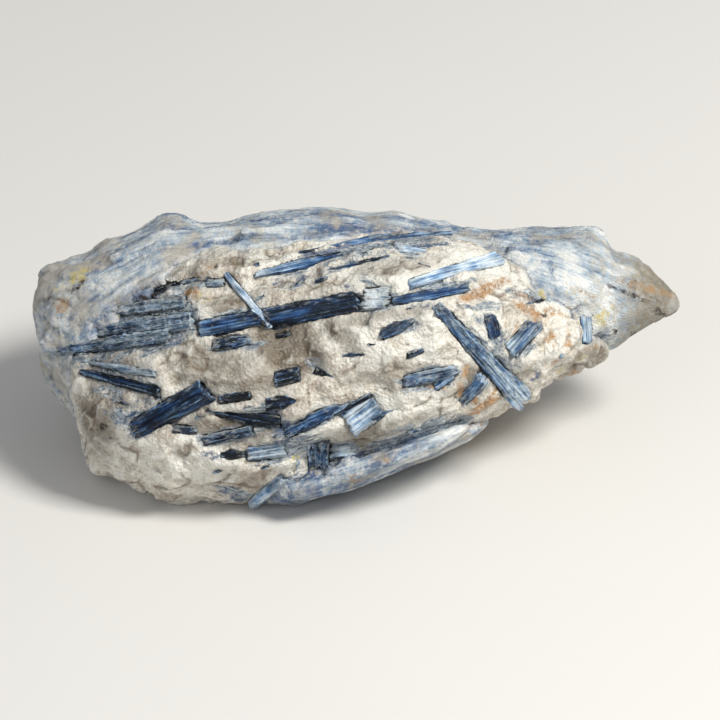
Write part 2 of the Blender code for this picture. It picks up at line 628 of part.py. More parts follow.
def blade_mesh(setting, seed):
    """The bmesh of a blade in its setting, with ragged ends."""
    blade = setting.blade
    draw = random.Random(seed)
    profile = lath_profile(blade.width, blade.thickness, blade.steps, draw)
    ragged = [draw.uniform(-RAGGED, RAGGED) * blade.width for _ in profile]
    bm, place_of = prism(profile, 1 if blade.bow or is_lens(blade) else 0)
    for vert, i in place_of.items():
        share = vert.co.z + 0.5
        end = round(2 * share - 1)
        across, out = profile[i]
        narrow = narrowing(blade, share)
        lengthwise = share * setting.length
        lengthwise += abs(end) * (ragged[i] + blade.slant[share > 0.5] * across * narrow)
        across = across * narrow + blade.bow * math.sin(math.pi * share)
        place_in(setting, vert, lengthwise, across, out * (1 - THINNING * (1 - narrow)))
    bmesh.ops.recalc_face_normals(bm, faces=bm.faces)
    return bm


def pocket_mesh(setting):
    """The bmesh of a plain four-sided block that clears room for a blade."""
    blade = setting.blade
    half, edge = blade.width / 2, blade.thickness / 2
    corners = [(-half, -edge), (half, -edge), (half, edge), (-half, edge)]
    bm, place_of = prism(corners, 1 if blade.bow or is_lens(blade) else 0)
    for vert, i in place_of.items():
        share = vert.co.z + 0.5
        end = round(2 * share - 1)
        across, out = corners[i]
        narrow = narrowing(blade, share)
        slant = blade.slant[share > 0.5] * across * narrow
        lengthwise = share * setting.length + end * (RAGGED * blade.width + GAP) + abs(end) * slant
        across = across * narrow + math.copysign(GAP, across)
        across += blade.bow * math.sin(math.pi * share)
        place_in(setting, vert, lengthwise, across, out + math.copysign(GAP, out))
    bmesh.ops.recalc_face_normals(bm, faces=bm.faces)
    return bm


def prism(profile, cuts):
    """A prism of unit height with its ends triangulated flat, and each vertex's profile place."""
    bm = bmesh.new()
    sides = len(profile)
    bmesh.ops.create_cone(bm, cap_ends=True, segments=sides, radius1=1, radius2=1, depth=1)
    if cuts:
        upright = [e for e in bm.edges if abs(e.verts[0].co.z - e.verts[1].co.z) > 0.5]
        bmesh.ops.subdivide_edges(bm, edges=upright, cuts=cuts, use_grid_fill=True)
    angle_of = {v: round(math.atan2(v.co.y, v.co.x), 4) for v in bm.verts}
    turns = sorted(set(angle_of.values()))
    place_of = {v: turns.index(angle) for v, angle in angle_of.items()}
    for vert, i in place_of.items():
        vert.co = (*profile[i], vert.co.z)
    bmesh.ops.triangulate(bm, faces=bm.faces)
    return bm, place_of


def is_lens(blade):
    """Whether a blade narrows toward both of its ends."""
    return max(blade.taper) < 1


def narrowing(blade, share):
    """A blade's width at a share of its length, as a share of its full width."""
    narrow = blade.taper[0] + (blade.taper[1] - blade.taper[0]) * share
    return 1 - (1 - narrow) * (2 * share - 1) ** 2 if is_lens(blade) else narrow


def place_in(setting, vert, lengthwise, across, out):
    local = setting.along * lengthwise + setting.across * across + setting.out * out
    vert.co = setting.origin + local * MM


@dataclass
class Setting:
    """Where a blade lies: its ends on the face, the stone's level under them, and its axes."""

    blade: Blade
    start: Vector
    end: Vector
    levels: tuple
    origin: Vector
    along: Vector
    across: Vector
    out: Vector
    length: float

    def level(self, share):
        """The stone's level under the blade, w in millimetres, at a share of its length."""
        return self.levels[0] + (self.levels[1] - self.levels[0]) * share

    def place_of(self, x, v):
        """The share along the blade beside a place on the face, and how far outside it lies."""
        line = self.end - self.start
        beside = Vector((x, v)) - self.start
        share = beside.dot(line) / line.length_squared
        over = max(0.0, -share, share - 1) * line.length
        aside = abs(line.cross(beside)) / line.length - self.blade.width / 2
        return min(1.0, max(0.0, share)), math.hypot(over, max(0.0, aside))


class Surface:
    """The bare stone's surface, for setting blades on it."""

    def __init__(self, masses):
        self.trees = []
        for mass in masses:
            points = [vert.co for vert in mass.data.vertices]
            faces = [face.vertices[:] for face in mass.data.polygons]
            self.trees.append(BVHTree.FromPolygons(points, faces))

    def depth(self, place, facing):
        """w of the surface at a place, seen from the front (facing 1) or from behind (-1)."""
        far = on_face(place.x, place.y, OUTSIDE * facing)
        hits = [tree.ray_cast(far, -OUT * facing) for tree in self.trees]
        found = [hit[3] for hit in hits if hit[0] is not None]
        return facing * (OUTSIDE - min(found) / MM) if found else 0.0

    def setting(self, blade, facing=1):
        """The setting of a blade that lies along the surface, by a straight fit to its levels."""
        start, end = Vector(blade.start), Vector(blade.end)
        side = (end - start).orthogonal().normalized() * blade.width * LEVEL_ASIDE
        places = [(t, start.lerp(end, t) + side * k) for t in LEVEL_SHARES for k in (-1, 0, 1)]
        depths = [self.depth(place, facing) for t, place in places]
        slope, first = np.polyfit([t for t, place in places], depths, 1)
        levels = (first, first + slope)
        ends = [
            on_face(place.x, place.y, level + facing * (lift - blade.thickness / 2))
            for place, level, lift in zip((start, end), levels, blade.lift)
        ]
        along = (ends[1] - ends[0]).normalized()
        out = (OUT * facing - along * along.dot(OUT * facing)).normalized()
        turn = blade.roll * facing * (1 if along.x > 0 else -1)
        out = Matrix.Rotation(math.radians(-turn), 3, along) @ out
        length = (ends[1] - ends[0]).length / MM
        across = out.cross(along)
        return Setting(blade, start, end, levels, ends[0], along, across, out, length)


def grown_blades(name, settings, collection, cutters):
    """One piece of blades grown together, and the hidden pockets that clear room for it."""
    pieces, pockets = [], []
    for i, setting in enumerate(settings):
        pieces.append(object_of(name, blade_mesh(setting, f"{name} {i}"), collection))
        pocket = object_of(f"{name}_pocket_{i}", pocket_mesh(setting), cutters)
        pockets.append(as_cutter(pocket))
    whole = pieces[0]
    for other in pieces[1:]:
        combine(whole, other, "UNION")
    if len(pieces) > 1:
        settle(whole, one_body=True)
    for other in pieces[1:]:
        bpy.data.objects.remove(other)
    return whole, pockets


def material(name):
    """A plain material for one kind of piece."""
    colour, roughness = MATERIALS[name]
    made = bpy.data.materials.new(name)
    made.use_nodes = True
    shader = made.node_tree.nodes["Principled BSDF"]
    shader.inputs["Base Color"].default_value = (*colour, 1.0)
    shader.inputs["Roughness"].default_value = roughness
    made.diffuse_color = (*colour, 1.0)
    return made


def boxes_meet(a, b):
    """Whether two objects' boxes share any space."""
    low_a, high_a = box_of(a)
    low_b, high_b = box_of(b)
    return all(low_a[i] <= high_b[i] and low_b[i] <= high_a[i] for i in range(3))


def box_of(made):
    points = [vert.co for vert in made.data.vertices]
    low = Vector(min(point[i] for point in points) for i in range(3))
    high = Vector(max(point[i] for point in points) for i in range(3))
    return low, high


def grow_laths(mass, surface, blades, facing, cutters):
    """Grows long laths into the face or, facing -1, the back of a mass, and returns pockets."""
    pockets = []
    for i, blade in enumerate(blades):
        name, setting = f"{mass.name}_lath_{facing}_{i}", surface.setting(blade, facing)
        lath = object_of(name, blade_mesh(setting, name), cutters)
        combine(mass, as_cutter(lath), "UNION")
        pocket = object_of(f"{name}_pocket", pocket_mesh(setting), cutters)
        pockets.append(as_cutter(pocket))
    return pockets


def build():
    for old in list(bpy.data.objects):
        bpy.data.objects.remove(old)
    parts = bpy.data.collections.new("kyanite_blade_cluster")
    cutters = bpy.data.collections.new("cutters")
    for collection in (parts, cutters):
        bpy.context.scene.collection.children.link(collection)

    crust = raw_mass("kyanite_crust", CRUST, blade_relief, parts)
    quartz = raw_mass("quartz_matrix", QUARTZ, quartz_relief, parts)
    bundle = raw_mass("lower_blade_bundle", BUNDLE, blade_relief, parts)
    masses = {crust: under_quartz, quartz: under_crust, bundle: in_the_stone}
    surface = Surface(masses)
    settings = {
        name: [surface.setting(blade) for blade in members] for name, members in FACE_BLADES.items()
    }
    floor = floor_block(cutters)
    for mass, is_hidden in masses.items():
        bed(mass, [setting for members in settings.values() for setting in members])
        break_off(mass, is_hidden, TRIANGLES[mass.name], floor)

    grow_laths(crust, surface, CRUST_LATHS, 1, cutters)
    grow_laths(crust, surface, BACK_LATHS, -1, cutters)
    rooms = [grown_copy(bundle, MASS_GAP, cutters)]
    rooms += grow_laths(bundle, surface, BUNDLE_LATHS, 1, cutters)
    combine(crust, grown_copy(quartz, MASS_GAP, cutters), "DIFFERENCE")
    for mass in (crust, quartz):
        for room in rooms:
            if boxes_meet(mass, room):
                combine(mass, room, "DIFFERENCE")

    blades = []
    for name, members in settings.items():
        blade, pockets = grown_blades(name, members, parts, cutters)
        blades.append(blade)
        for pocket in pockets:
            for mass in masses:
                if boxes_meet(mass, pocket):
                    combine(mass, pocket, "DIFFERENCE")
    for mass in masses:
        settle(mass)
        thin(mass, FINISHED_TRIANGLES[mass.name])
        flatten_base(mass)

    pieces = [quartz, crust, bundle, *blades]
    stand_on_origin(pieces)
    finish_materials(quartz, crust, bundle, blades)


def stand_on_origin(pieces):
    """Moves all pieces so that the middle of the whole stone's base is at the origin."""
    boxes = [box_of(piece) for piece in pieces]
    low = Vector(min(box[0][i] for box in boxes) for i in range(3))
    high = Vector(max(box[1][i] for box in boxes) for i in range(3))
    middle = (low + high) / 2
    for piece in pieces:
        piece.data.transform(Matrix.Translation((-middle.x, -middle.y, -low.z)))


def finish_materials(quartz, crust, bundle, blades):
    quartz.data.materials.append(material("milky_quartz"))
    pale = material("pale_kyanite")
    for mass in (crust, bundle):
        mass.data.materials.append(pale)
    dark, light = material("dark_kyanite"), material("light_kyanite")
    for blade in blades:
        blade.data.materials.append(light if "pale" in blade.name else dark)


build()
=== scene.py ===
import itertools
import math

import bmesh
import bpy
import numpy as np
from mathutils import Matrix, Vector
from mathutils.bvhtree import BVHTree


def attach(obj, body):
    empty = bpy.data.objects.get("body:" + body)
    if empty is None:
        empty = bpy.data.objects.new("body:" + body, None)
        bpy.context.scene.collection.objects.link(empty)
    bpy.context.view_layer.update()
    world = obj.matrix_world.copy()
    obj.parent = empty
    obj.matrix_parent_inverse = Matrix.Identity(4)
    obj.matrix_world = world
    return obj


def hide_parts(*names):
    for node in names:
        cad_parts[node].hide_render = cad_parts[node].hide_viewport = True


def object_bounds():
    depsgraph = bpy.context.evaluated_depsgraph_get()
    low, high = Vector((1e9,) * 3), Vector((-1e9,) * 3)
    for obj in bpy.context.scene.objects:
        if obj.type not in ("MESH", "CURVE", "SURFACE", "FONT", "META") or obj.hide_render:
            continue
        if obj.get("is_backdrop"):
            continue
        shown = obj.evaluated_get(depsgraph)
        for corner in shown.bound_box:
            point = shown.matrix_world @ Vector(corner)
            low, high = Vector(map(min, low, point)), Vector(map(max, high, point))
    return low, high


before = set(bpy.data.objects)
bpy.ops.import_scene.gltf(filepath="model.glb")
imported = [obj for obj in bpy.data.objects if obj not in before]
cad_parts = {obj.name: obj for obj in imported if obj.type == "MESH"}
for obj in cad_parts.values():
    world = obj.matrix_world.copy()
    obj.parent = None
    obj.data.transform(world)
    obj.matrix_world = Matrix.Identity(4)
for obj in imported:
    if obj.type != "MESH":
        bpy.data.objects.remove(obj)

bl_info = {
    "name": "Kyanite blade cluster",
    "version": (1, 0, 0),
    "blender": (4, 5, 0),
    "location": "3D View > Sidebar > Kyanite",
    "description": "Dresses a kyanite specimen: broken quartz, bladed crust and striated crystals",
    "category": "Object",
}

MM = 0.001

# How many triangles one piece may have, how far its points stay inside the solid model's box in
# millimetres, and below what share of the largest island a loose bit is dropped.
MOST_TRIANGLES = 192000
BOX_MARGIN = 0.01
CRUMB_SHARE = 0.2

# The random tables behind the relief repeat after this many hills or cells.
DRIFT_REPEAT = 32
CELL_REPEAT = 24

# Places on the stone are given square to its show face, in millimetres from the face's centre:
# x runs along the stone, v up the face and w straight out of it.
FACE_TILT = math.radians(32.0)
FACE_CENTRE = np.array((0.6, -3.98, 20.3))
ALONG = np.array((1.0, 0.0, 0.0))
UP_FACE = np.array((0.0, math.sin(FACE_TILT), math.cos(FACE_TILT)))
OUT = np.array((0.0, -math.cos(FACE_TILT), math.sin(FACE_TILT)))
FACE = np.stack((ALONG, UP_FACE, OUT), axis=1)

# The solids of pale bladed kyanite. The crust's blades follow its bowed upper edge, given as x and
# v, and both turn lumpy beyond ROUGH_ENDS. The bundle's blades lie at a turn, in degrees.
CRUST_NODES = ("kyanite_crust", "lower_blade_bundle")
UPPER_EDGE = (
    (-66, -60, -50, -40, -22, 0, 20, 40, 55, 66),
    (4, 12, 20, 25, 28, 28, 25.5, 20, 14, 9),
)
ROUGH_ENDS = 50.0
BUNDLE_TURN = 20.0

# The crystals in each piece: start and end on the face, width, and tone at either end, from 0 for
# blue-black to 1 for whitish blue.
DARK_BLADES = {
    "main_blade_and_crossing_lath": [
        ((-18.4, 7.8), (-0.4, 11.2), 3.8, (0.24, 0.22)),
        ((-31.0, 5.8), (-19.6, 8.0), 3.3, (0.44, 0.34)),
        ((-26.0, 16.4), (-17.6, 6.6), 1.4, (0.74, 0.80)),
    ],
    "dark_lath_right": [((6.6, 11.0), (21.2, 13.9), 2.3, (0.30, 0.44))],
    "long_upper_blade": [((-12.0, 20.6), (18.4, 24.8), 1.9, (0.30, 0.42))],
    "blunt_upper_blade": [((-20.6, 16.2), (-3.4, 20.4), 2.4, (0.72, 0.36))],
    "small_lens_blade": [
        ((0.2, 20.5), (6.4, 22.1), 1.5, (0.06, 0.06)),
        ((5.4, 21.7), (13.0, 21.3), 1.9, (0.60, 0.72)),
    ],
    "thin_upper_lath": [((-5.6, 17.3), (6.0, 20.2), 0.9, (0.42, 0.16))],
    "black_left_blade": [((-44.4, 11.8), (-35.6, 14.7), 1.7, (0.04, 0.02))],
    "upper_left_lath": [
        ((-35.0, 14.9), (-29.2, 15.8), 1.2, (0.48, 0.40)),
        ((-29.8, 14.8), (-26.6, 14.9), 2.0, (0.56, 0.50)),
    ],
    "rough_blade_bundle": [
        ((-59.6, 1.4), (-37.6, 4.4), 3.0, (0.38, 0.50)),
        ((-51.0, 5.2), (-32.4, 7.6), 4.0, (0.40, 0.60)),
    ],
    "rough_upper_blade": [((-48.0, 9.4), (-34.0, 11.2), 3.2, (0.56, 0.44))],
    "stub_below_main_blade": [((-28.6, 2.7), (-21.4, 3.8), 2.7, (0.06, 0.50))],
    "square_stub": [((-16.6, -4.0), (-11.6, -2.8), 2.6, (0.20, 0.16))],
    "chip_below_main_blade": [((-16.4, 4.3), (-13.4, 4.8), 1.1, (0.10, 0.10))],
    "thin_lath_in_cleft": [((-3.4, 0.6), (1.0, 0.8), 0.9, (0.10, 0.30))],
    "sliver_beside_lens": [((11.6, 7.0), (14.2, 8.0), 0.8, (0.50, 0.40))],
    "thin_right_lens": [((32.6, 10.8), (37.4, 11.8), 0.8, (0.10, 0.10))],
    "dark_wedge_stub": [((-8.6, -2.4), (-5.0, -3.4), 1.7, (0.05, 0.05))],
    "lens_blade": [((4.2, 4.6), (10.6, 7.4), 2.6, (0.30, 0.44))],
    "small_grey_stub": [((9.2, 0.6), (12.8, 1.8), 1.3, (0.06, 0.40))],
    "cross_blade_long": [((15.6, 9.8), (32.4, -8.2), 5.0, (0.42, 0.64))],
    "small_upright_blade": [((25.4, 8.4), (26.8, 4.2), 2.5, (0.34, 0.46))],
    "long_lower_blade_and_block": [
        ((-14.6, -14.2), (-3.6, -9.4), 3.0, (0.30, 0.34)),
        ((-5.0, -10.6), (2.6, -6.8), 0.9, (0.12, 0.16)),
        ((-2.0, -13.1), (3.4, -9.0), 5.0, (0.76, 0.58)),
        ((2.6, -11.4), (7.4, -9.8), 1.6, (0.30, 0.44)),
    ],
    "dark_lower_blade": [((-29.8, -10.2), (-15.4, -12.4), 2.7, (0.10, 0.12))],
    "black_stub": [((-27.4, -8.0), (-21.2, -7.0), 1.7, (0.04, 0.06))],
    "pointed_blue_stub": [((-18.2, -9.0), (-12.0, -8.1), 2.4, (0.14, 0.18))],
    "raised_diagonal_blade": [((-44.0, -14.0), (-29.8, -6.1), 4.3, (0.24, 0.28))],
    "left_dark_blade": [((-55.0, -2.6), (-39.0, -6.5), 2.3, (0.12, 0.12))],
    "blue_lath": [((-36.4, -13.7), (-32.0, -14.0), 1.7, (0.18, 0.22))],
    "grey_lower_lath": [((-30.4, -16.0), (-20.8, -13.9), 2.1, (0.28, 0.34))],
    "black_lens": [((-27.2, -18.8), (-22.8, -18.8), 1.9, (0.04, 0.08))],
}
PALE_BLADES = {
    "pale_sheath_blade": [((0.9, 11.6), (5.6, 11.8), 5.0, (0.98, 0.6))],
    "pale_upper_blade": [((9.8, 14.6), (27.6, 19.8), 3.3, (0.68, 0.70))],
    "left_pale_lath": [((-53.0, -0.8), (-39.8, -3.0), 1.4, (0.62, 0.56))],
    "cross_blade_upper": [((34.4, 6.8), (29.6, 1.4), 3.4, (0.30, 0.62))],
    "cross_blade_lower": [((24.2, -3.8), (20.2, -8.2), 3.2, (0.52, 0.46))],
    "fibrous_plate": [
        ((8.6, -4.4), (19.0, -2.2), 2.9, (0.40, 0.42)),
        ((14.8, -5.6), (18.0, -3.2), 1.9, (0.50, 0.50)),
    ],
    "streaky_block": [((-21.8, -18.8), (-14.6, -17.7), 3.0, (0.44, 0.56))],
    "upright_fibre_block": [((-8.0, -16.6), (-8.2, -21.0), 4.2, (0.36, 0.46))],
    "blue_chip_cluster": [((-5.2, -18.2), (-2.0, -17.8), 3.2, (0.40, 0.60))],
    "bottom_spur": [((-21.4, -28.8), (-15.0, -23.4), 2.5, (0.70, 0.62))],
    "pale_upright_blade": [((44.8, 8.4), (45.2, 3.2), 2.7, (0.58, 0.54))],
}

# Each table's random seed, slot and material, and the lift that makes its material paler.
CRYSTALS = {
    "dark": (DARK_BLADES, 100, "dark_kyanite", "striated_dark_kyanite", 0.0),
    "pale": (PALE_BLADES, 200, "grey_blue_kyanite", "striated_pale_kyanite", 0.04),
}

# The share of quartz grains grown into each crystal, and into those that aren't listed.
MIXED = {
    "rough_blade_bundle": 0.6, "rough_upper_blade": 0.7, "upper_left_lath": 0.5, "fibrous_plate": 0.45,
    "stub_below_main_blade": 0.45, "long_lower_blade_and_block": 0.3, "streaky_block": 0.5,
    "blue_chip_cluster": 0.6, "bottom_spur": 0.5, "pale_sheath_blade": 0.85, "left_pale_lath": 0.5,
    "grey_lower_lath": 0.5, "small_lens_blade": 0.35, "lens_blade": 0.25, "small_grey_stub": 0.35,
    "upright_fibre_block": 0.4, "main_blade_and_crossing_lath": 0.12, "cross_blade_lower": 0.4,
    "cross_blade_upper": 0.35, "raised_diagonal_blade": 0.12, "blunt_upper_blade": 0.1,
    "pale_upright_blade": 0.15, "cross_blade_long": 0.45, "blue_lath": 0.4,
}
LITTLE_MIXED = 0.15

# Stains on the stone, each an oval: the x and v of its centre, its reach along and across, its turn
# in degrees, and its strength.
RUST = [
    (24, 13.6, 5.6, 1.1, 24, 1), (27.4, 15, 2.4, 0.8, 10, 0.9), (33.4, 9.6, 3.4, 0.9, -28, 1),
    (37.4, 9.6, 1.6, 1.2, 0, 0.8), (37.6, 4, 1.2, 2, 10, 0.8), (20, -6.4, 0.9, 2.2, 20, 1),
    (24.6, -9, 3.8, 0.9, 28, 1), (23, -13, 2.2, 0.6, 10, 0.8), (-0.8, -23, 1.6, 1.1, 20, 0.8),
    (-33.2, 13.2, 1.9, 1.1, 40, 1), (-59, 10.5, 1.4, 1.8, 0, 1), (56.5, 14.6, 7.5, 0.9, -14, 0.9),
    (-6, 8.4, 6, 0.5, 10, 0.5), (15.4, -5.4, 2.8, 0.4, -8, 0.9), (20.6, -2.8, 0.6, 2.2, -12, 0.9),
    (44, 13.6, 3, 0.8, -20, 0.7), (41, 4, 0.8, 3, 0, 0.8), (-10.6, -1.2, 1.2, 0.5, 60, 0.6),
    (26, -6.6, 2.6, 0.5, 50, 0.8), (30.4, 5.6, 0.5, 2.4, -20, 0.7), (-30.8, 17.4, 2.6, 0.6, 30, 0.7),
    (32, 12.6, 2.6, 0.6, -20, 0.8), (40, 8.8, 2.2, 0.6, -30, 0.8), (34.2, 6.2, 0.6, 2.2, -15, 0.7),
    (38.4, -0.4, 2.4, 0.6, 30, 0.8), (33.4, -1.4, 1.6, 0.5, 50, 0.7), (28.6, 7.6, 0.5, 1.6, -10, 0.6),
    (36.6, 6.8, 1.6, 0.5, 30, 0.6), (22.4, -7.6, 0.8, 1.6, 40, 0.9), (42.4, 10.6, 1.6, 0.5, 10, 0.7),
    (46, 2.4, 2, 0.6, 20, 0.7), (42, -2.6, 2, 0.6, 25, 0.7), (5, -19.8, 1.4, 0.7, 20, 0.9),
]
LICHEN = [
    (36, 13, 0.8, 1.3, 20, 1), (48, 8.2, 1.8, 1.4, 30, 1), (-36, 7.4, 1.4, 1, 0, 0.9),
    (-55.8, 16.8, 2.4, 1.6, 40, 1), (-30, 12.2, 2, 1.2, 0, 0.6), (28, -10.4, 1.4, 0.5, 20, 0.7),
    (-12, -19.4, 2.2, 0.9, 0, 0.7), (-60, 14.6, 1.6, 1.6, 0, 0.6), (36.4, 2.2, 1.2, 0.6, 20, 0.7),
    (40, -1.8, 1.6, 0.5, 30, 0.7), (41.6, 13.4, 1.2, 0.6, 0, 0.7), (49.6, 10.6, 0.8, 0.6, 0, 0.8),
    (-9, -22.4, 2.2, 0.6, 10, 0.6), (44, 0.6, 1.6, 0.8, 30, 0.6),
]
# Dark pits and crevices: a brown-black stain that is partly painted shade, as under the narrow tip.
DARK_PITS_AND_SHADE = [
    (36.2, 8.8, 0.7, 0.5, 10, 1), (54.6, 5.4, 0.8, 0.6, 0, 1), (50.6, 5.6, 0.7, 0.6, 0, 0.9),
    (59.4, 10, 0.8, 0.6, 0, 1), (-50.6, -13, 0.9, 0.7, 20, 1), (-49.2, -15.4, 0.5, 0.5, 0, 1),
    (18.8, -7.6, 0.5, 0.5, 0, 1), (-28.2, 18.4, 0.4, 0.8, -20, 0.9), (53, 13.4, 4.6, 0.5, -20, 0.9),
    (-56.4, 14.4, 2.2, 0.7, 40, 0.9), (-58.6, 8.2, 1.6, 0.6, -20, 0.7), (-9.8, 2.6, 1.6, 0.9, -30, 0.5),
    (-31, 7.2, 5.4, 0.2, -63, 1.1), (-41.6, 12.8, 3.4, 0.6, 20, 1.3), (60, 9, 2.2, 0.6, -20, 0.8),
    (58, 12.4, 2, 0.5, -30, 0.8),
]
BLUE_PATCHES = [
    (-26.8, -26, 1.7, 0.8, 10, 1), (-24.4, -27.2, 1.4, 0.9, -30, 1), (-13.8, -26, 0.6, 2.6, 10, 0.9),
    (48, 5, 1.8, 1, 20, 0.9), (-42, -8.4, 3.2, 1.2, 10, 0.8), (-36, 3.4, 1.6, 0.5, 10, 1),
    (-30, 3.6, 0.8, 1.2, 10, 0.9), (18, 17.8, 0.8, 0.3, -20, 1), (12, 10.6, 3, 0.5, 4, 0.9),
    (-45.6, -12, 2.4, 1.4, 30, 0.8), (24, 11, 4.4, 0.4, 6, 0.8), (-1.6, 13.6, 2.6, 0.7, -20, 0.8),
    (-11.4, 15.8, 1.3, 0.9, 20, 0.9), (-14, -15.8, 4.4, 0.6, 10, 0.8), (-16.8, 15, 1.6, 0.4, 10, 0.8),
    (26.6, -1, 1.6, 0.6, 60, 0.8), (-41.6, 12.8, 3.2, 1.2, 20, 1.5), (-6, 21.6, 6, 0.45, 13, 1.5),
    (6, 24.2, 8, 0.35, 8, 1.5), (12, 22.4, 5, 0.3, 6, 1.4), (-15, -13.2, 1.4, 0.8, 30, 1.3),
    (-29, -18.8, 1.8, 0.8, -10, 1.1), (-17.2, -10.4, 1.6, 0.6, 0, 1.1), (-24, 1.6, 1.8, 0.4, 10, 0.7),
    (35, -1, 1.2, 0.5, 40, 0.7), (2, -18.2, 7, 0.5, 18, 1), (10, -15.8, 5, 0.5, 22, 1),
    (4, -21, 7, 0.4, 20, 0.8), (-6, -22.6, 5, 0.5, 18, 0.9), (14, -17.4, 5, 0.4, 25, 0.8),
    (-2, -24.6, 6, 0.4, 16, 0.6), (10, 26, 12, 0.5, 3, 0.9), (-8, 24.6, 8, 0.5, 6, 0.8),
    (30, 22, 6, 0.5, -4, 0.9), (38, 17, 0.6, 4, 8, 0.8), (-48, 18, 7, 0.6, 30, 0.6),
    (-34, 20, 8, 0.6, 22, 0.5), (33, 12, 3, 0.4, -8, 0.8), (42.6, 9.4, 1.6, 1.4, 0, 0.7),
    (38, 1.8, 1.2, 0.6, 40, 0.6), (34.6, -3.2, 1.6, 0.8, 50, 0.8), (30.4, 12.6, 1.4, 0.4, 10, 0.7),
    (43, 0.6, 1.8, 0.8, 30, 0.6),
]

# Ovals of clear, smoky quartz that looks darker than the milky kind, which are partly painted
# shade, deepest under the main blade; of the whitest and cleanest quartz; and of quartz that
# broke in smoother, larger flats.
SMOKY_AND_SHADED = [
    (-14, 3, 5.6, 4.2, -30, 1.25), (-4, 5, 4, 1.6, -40, 0.6), (-27, -2, 10, 4, -10, 0.6),
    (-28, 18, 7, 3.6, 25, 0.3), (-9, 14.4, 9, 3, 8, 0.3), (-34, 0, 5, 2, 0, 0.4),
    (10, -3, 8, 2.4, -10, 0.4), (22, -4.6, 2.2, 3, 0, 0.8), (0, -15, 5, 2.4, 20, 0.7),
    (-24, -12.8, 7, 1.6, 0, 0.8), (-50, 0, 6, 2, 0, 0.5), (6, 18.4, 9, 1.6, 6, 0.4),
    (-52, -12, 3, 6, 10, 0.6), (46, 0, 5, 2.6, 30, 0.6), (-25.6, 10.6, 3.2, 1.4, 12, 0.9),
    (6, -13.4, 7, 1.2, 20, 0.6), (4, 8.6, 10, 1.2, 8, 0.5),
]
CLEAN = [
    (10.6, 1.2, 5, 2.6, 10, 0.6), (11, -10.2, 6, 2.2, 16, 0.65), (34, 0.6, 4, 3, 10, 0.5),
    (0, -5, 5, 2, 0, 0.15), (0.2, 11.4, 1.6, 1.4, 80, 1), (6.4, 11.9, 1.4, 1.2, 80, 1),
    (-6, -15.6, 4, 2, 20, 0.5), (10, 17, 12, 3.4, 8, 1), (36, 5, 8, 8, 0, 0.3), (2, 1, 6, 2, -10, 0.6),
    (6, 8, 8, 3, 8, 0.5), (-20, -21, 10, 3, 4, 0.2), (-12, -20.2, 5, 1.2, 8, 0.9),
    (50, 4, 6, 3, 0, 0.4), (28, 16.4, 6, 2, -20, 0.8), (8, -7.6, 6, 1.2, 10, 0.7),
    (-20, 4, 3, 1.6, 0, 0.3), (56, 8.6, 5, 2, 10, 0.4), (-40, -20, 13, 6, -8, 0.3),
]
CALM = [
    (1, -5, 7, 3, -8, 0.8), (-38, -20, 12, 7, 0, 0.25), (10.6, 0.6, 5.4, 3, 10, 0.55),
    (11, -10.4, 6.4, 2.6, 16, 0.6), (8, 17, 8, 2.6, 10, 0.5), (-25, 0, 6, 3, 0, 0.4),
]

# Ovals where thin kyanite threads run through the quartz, turned as the oval is.
THREADS = [
    (-43, 6.2, 10, 4.6, 9, 1), (-24, 8.8, 5, 1, 9, 0.7), (-34.4, 8.4, 2.6, 3.4, 9, 0.95),
    (-2, 19.4, 18, 1.4, 11, 0.5), (5, 22.2, 10, 1.1, 9, 0.95), (14, 23.4, 16, 1.5, 7, 0.6),
    (8, 20.6, 5, 1.3, 0, 0.6), (2.4, 15.2, 2.6, 1, -20, 0.6), (3.4, 11.4, 3.6, 1.9, 8, 0.9),
    (15, 13.8, 7, 0.9, 14, 0.8), (24, 10.4, 5, 0.8, 4, 0.7), (26.6, 3.4, 5.4, 2.6, -48, 0.8),
    (31.6, 3.2, 4, 1.8, 50, 0.8), (22.6, -5.6, 3.6, 1.8, 50, 0.8), (-49, -6.6, 3.4, 1.4, -12, 0.8),
    (-43, -9.4, 3, 1.3, 14, 0.8), (-47.6, -11, 2.6, 1.6, -40, 0.75), (-42.6, -13.4, 3.6, 1.4, 26, 0.85),
    (-18, -11.6, 6, 1.4, -10, 0.8), (-14.8, -13.6, 2.4, 1.6, 22, 1), (-20, -9.4, 3, 1.2, 0, 0.8),
    (-9.6, -12.6, 6, 1.5, 23, 0.6), (-14, -17.6, 8, 2.2, 10, 0.9), (-3, -18.6, 3.4, 2.2, 10, 0.9),
    (-24.6, -26.6, 4.4, 1.4, -12, 0.8), (-12.8, -24.6, 3, 2.2, 50, 0.9), (7, -16.2, 14, 1.8, 21, 1),
    (14, -3.8, 5.6, 2.2, 12, 0.8), (44.6, 6.4, 4, 3, -84, 0.4), (-34, 14.2, 5, 1.2, 10, 0.7),
    (-8.6, -0.6, 1.8, 1.2, -30, 0.5), (-25, 2.2, 6, 1, 8, 0.6), (-25, -14.8, 6.4, 1.4, 8, 0.7),
    (-55, 1, 5, 2.2, 8, 0.9), (-47, -3.8, 8, 1.6, -14, 0.6), (9, 6.4, 3.4, 1.4, 24, 0.4),
    (36, 12.4, 9, 1.2, -10, 0.7), (0.6, -10.6, 4, 3, 40, 0.5), (-12, 13.6, 5, 2, -30, 0.35),
]

